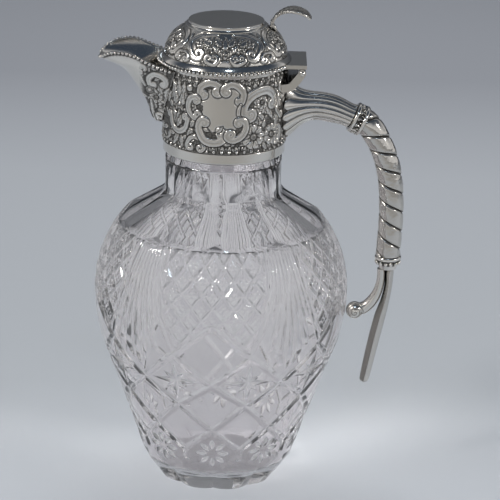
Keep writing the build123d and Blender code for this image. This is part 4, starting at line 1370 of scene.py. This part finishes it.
# painted shade: colour of the floor by its distance behind the jug, darker further back
sweep_start = -0.25
sweep_reach = 1.1
sweep_shade_colours = [(-0.05, (0.46, 0.482, 0.508)), (0.12, (0.37, 0.39, 0.41)), (0.55, (0.315, 0.33, 0.35)),
                 (0.85, (0.223, 0.233, 0.252))]
wall_colour = (0.3, 0.315, 0.335)
wall_heights = (0.2, 1.0)
front_reflection_colour = (0.44, 0.425, 0.4)    # painted reflection: a warm floor in front of the jug, which only the metal shows
front_distances = (-0.3, -0.7)
# painted shade: the floor that the glass shows is darker near the jug
glass_floor_shade_colours = (0.335, 0.328, 0.345), (0.46, 0.46, 0.465)    # floor as the glass shows it
glass_floor_distances = (0.03, 0.4)
glass_floor_share = 0.85
horizon_colour = (0.72, 0.72, 0.73)
overhead_colour = (0.045, 0.06, 0.085)
glass_room_colour = (0.44, 0.437, 0.445)
# name: place, size, power, colour
lamps = {
    "key": ((-1.1, -0.7, 1.2), 0.22, 9, (1.0, 0.98, 0.95)),
    "window": ((0.15, -1.1, 1.7), 0.16, 1.6, (0.7, 0.84, 1.0)),
    "fill": ((1.3, -0.5, 0.7), 0.14, 4, (1.0, 0.98, 0.95)),
    "top": ((0.1, 1.0, 1.5), 1.2, 30, (0.98, 0.985, 1.0)),
}
lamp_target = (0, 0, 0.15)
light_bounces = 24


def add_camera():
    elevation, roll = radians(camera_elevation), radians(camera_roll)
    back = Vector((0, -cos(elevation), sin(elevation)))
    right = Vector((1, 0, 0))
    up = back.cross(right)
    turned_right = cos(roll) * right + sin(roll) * up
    turned_up = cos(roll) * up - sin(roll) * right
    data = bpy.data.cameras.new("camera")
    data.sensor_width = 36
    data.lens = camera_lens
    data.clip_start = 0.05
    data.clip_end = 50
    camera = bpy.data.objects.new("camera", data)
    place = (Vector(camera_target) + camera_distance * back) * MM
    turn = Matrix((turned_right, turned_up, back)).transposed()
    camera.matrix_world = Matrix.Translation(place) @ turn.to_4x4()
    bpy.context.scene.collection.objects.link(camera)
    bpy.context.scene.camera = camera


def sweep_material():
    """Pale paper with painted shade, darker with distance; metal shows it warmer in front as a painted
    reflection, and glass shows it more even, with painted shade near the jug.
    """
    material, tree, shader = new_material("pale_sweep")
    _, distance, height = split_place(tree, "Object")
    # painted shade: the floor's colour darkens with its distance behind the jug
    shade = tree.nodes.new("ShaderNodeValToRGB")
    steps = shade.color_ramp.elements
    while len(steps) < len(sweep_shade_colours):
        steps.new(0.5)
    for step, (reach, colour) in zip(steps, sweep_shade_colours):
        step.position = (reach - sweep_start) / sweep_reach
        step.color = (*colour, 1)
    feed(tree, shade, {"Fac": span(tree, distance, sweep_start, sweep_start + sweep_reach)})
    colour = mix(tree, span(tree, height, *wall_heights), shade.outputs["Color"], wall_colour)
    # painted reflection: glossy rays see the floor in front of the jug warmer
    metal = add_node(tree, "LightPath", {}, "Is Glossy Ray")
    colour = mix(tree, product(tree, span(tree, distance, *front_distances), metal), colour, front_reflection_colour)
    # painted shade: transmission rays see the floor darker near the jug
    glass = add_node(tree, "LightPath", {}, "Is Transmission Ray")
    glass_floor = mix(tree, span(tree, distance, *glass_floor_distances), *glass_floor_shade_colours)
    colour = mix(tree, product(tree, glass, glass_floor_share), colour, glass_floor)
    feed(tree, shader, {"Base Color": colour, "Roughness": 0.9})
    return material


def add_sweep():
    """Floor that curves up far behind the jug."""
    line = [(sweep_front, 0.0), (sweep_back, 0.0)]
    line += [(sweep_back + sweep_bend * sin(a), sweep_bend - sweep_bend * cos(a))
             for a in np.linspace(0, pi / 2, 16)[1:]]
    line.append((sweep_back + sweep_bend, sweep_top))
    points = [(x, y, z) for y, z in line for x in (-sweep_half_width, sweep_half_width)]
    mesh = bpy.data.meshes.new("sweep")
    mesh.from_pydata(points, [], sheet_quads(len(line), 2).tolist())
    mesh.shade_smooth()
    mesh.materials.append(sweep_material())
    sweep = bpy.data.objects.new("sweep", mesh)
    bpy.context.scene.collection.objects.link(sweep)


def add_lamp(name, place, size, power, colour):
    """Square soft light turned to the jug; the glass doesn't show it through itself."""
    data = bpy.data.lights.new(name, "AREA")
    data.size = size
    data.energy = power
    data.color = colour
    lamp = bpy.data.objects.new(name, data)
    lamp.location = place
    lamp.rotation_euler = (Vector(lamp_target) - Vector(place)).to_track_quat("-Z", "Y").to_euler()
    lamp.visible_transmission = False
    # the wide lamp behind lights the sweep and leaves no reflection of its own
    lamp.visible_glossy = name != "top"
    bpy.context.scene.collection.objects.link(lamp)


def add_world():
    """Grey room: bright at the horizon and behind, dark and bluish overhead. Glass shows one even grey."""
    world = bpy.data.worlds.new("studio")
    bpy.context.scene.world = world
    world.use_nodes = True
    tree = world.node_tree
    _, behind, above = split_place(tree, "Generated")
    overhead = product(tree, span(tree, above, 0.0, 0.55, interpolation_type="SMOOTHSTEP"),
                       span(tree, behind, 0.85, 0.2, interpolation_type="SMOOTHSTEP"))
    glass = add_node(tree, "LightPath", {}, "Is Transmission Ray")
    room = mix(tree, glass, mix(tree, overhead, horizon_colour, overhead_colour), glass_room_colour)
    feed(tree, tree.nodes["Background"], {"Color": room, "Strength": 1.0})


def add_stage():
    scene = bpy.context.scene
    scene.view_settings.view_transform = "Standard"
    scene.cycles.use_denoising = True
    scene.cycles.max_bounces = light_bounces
    scene.cycles.transmission_bounces = light_bounces
    add_camera()
    add_sweep()
    add_world()
    for name, lamp in lamps.items():
        add_lamp(name, *lamp)


# --- Build -----------------------------------------------------------------------------------------
materials = {
    "crystal": crystal(),
    "polished": silver("polished_silver", silver_tint, 0.14, 0.05),
    "chased": silver("chased_silver", silver_tint, 0.17, 0.1, dark_attribute=True),
    # painted shade: the darker tint of the grip and tail; their dents are the uneven face of worn castings
    "worn": silver("dented_shaded_silver", shaded_silver_tint, 0.16, 0.08, dark_attribute=True, dents=0.5),
    "plaster": plaster(),
}
not_polished = {"glass_body": "crystal", "neck_cement": "plaster"}
for name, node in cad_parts.items():
    for slot in node.material_slots:
        slot.material = materials[not_polished.get(name, "polished")]

glass_piece(materials["crystal"])
collar_piece(materials["chased"])
dome_piece(materials["chased"])
bead_middles = spout_bead_middles()
spout_piece(materials["chased"], bead_middles)
lid_beads(materials["chased"])
spout_beads(materials["chased"], bead_middles)
grip_piece(materials["worn"])
foliate_ring(materials["chased"])
lower_ring_piece(materials["chased"])
lower_ring_beads(materials["chased"])
thumbpiece_piece(materials["chased"])
arm_piece(materials["chased"])
scroll_piece(materials["chased"])
tail_piece(materials["worn"])
band_piece(materials["chased"])
pin_heads(materials["polished"])
add_stage()
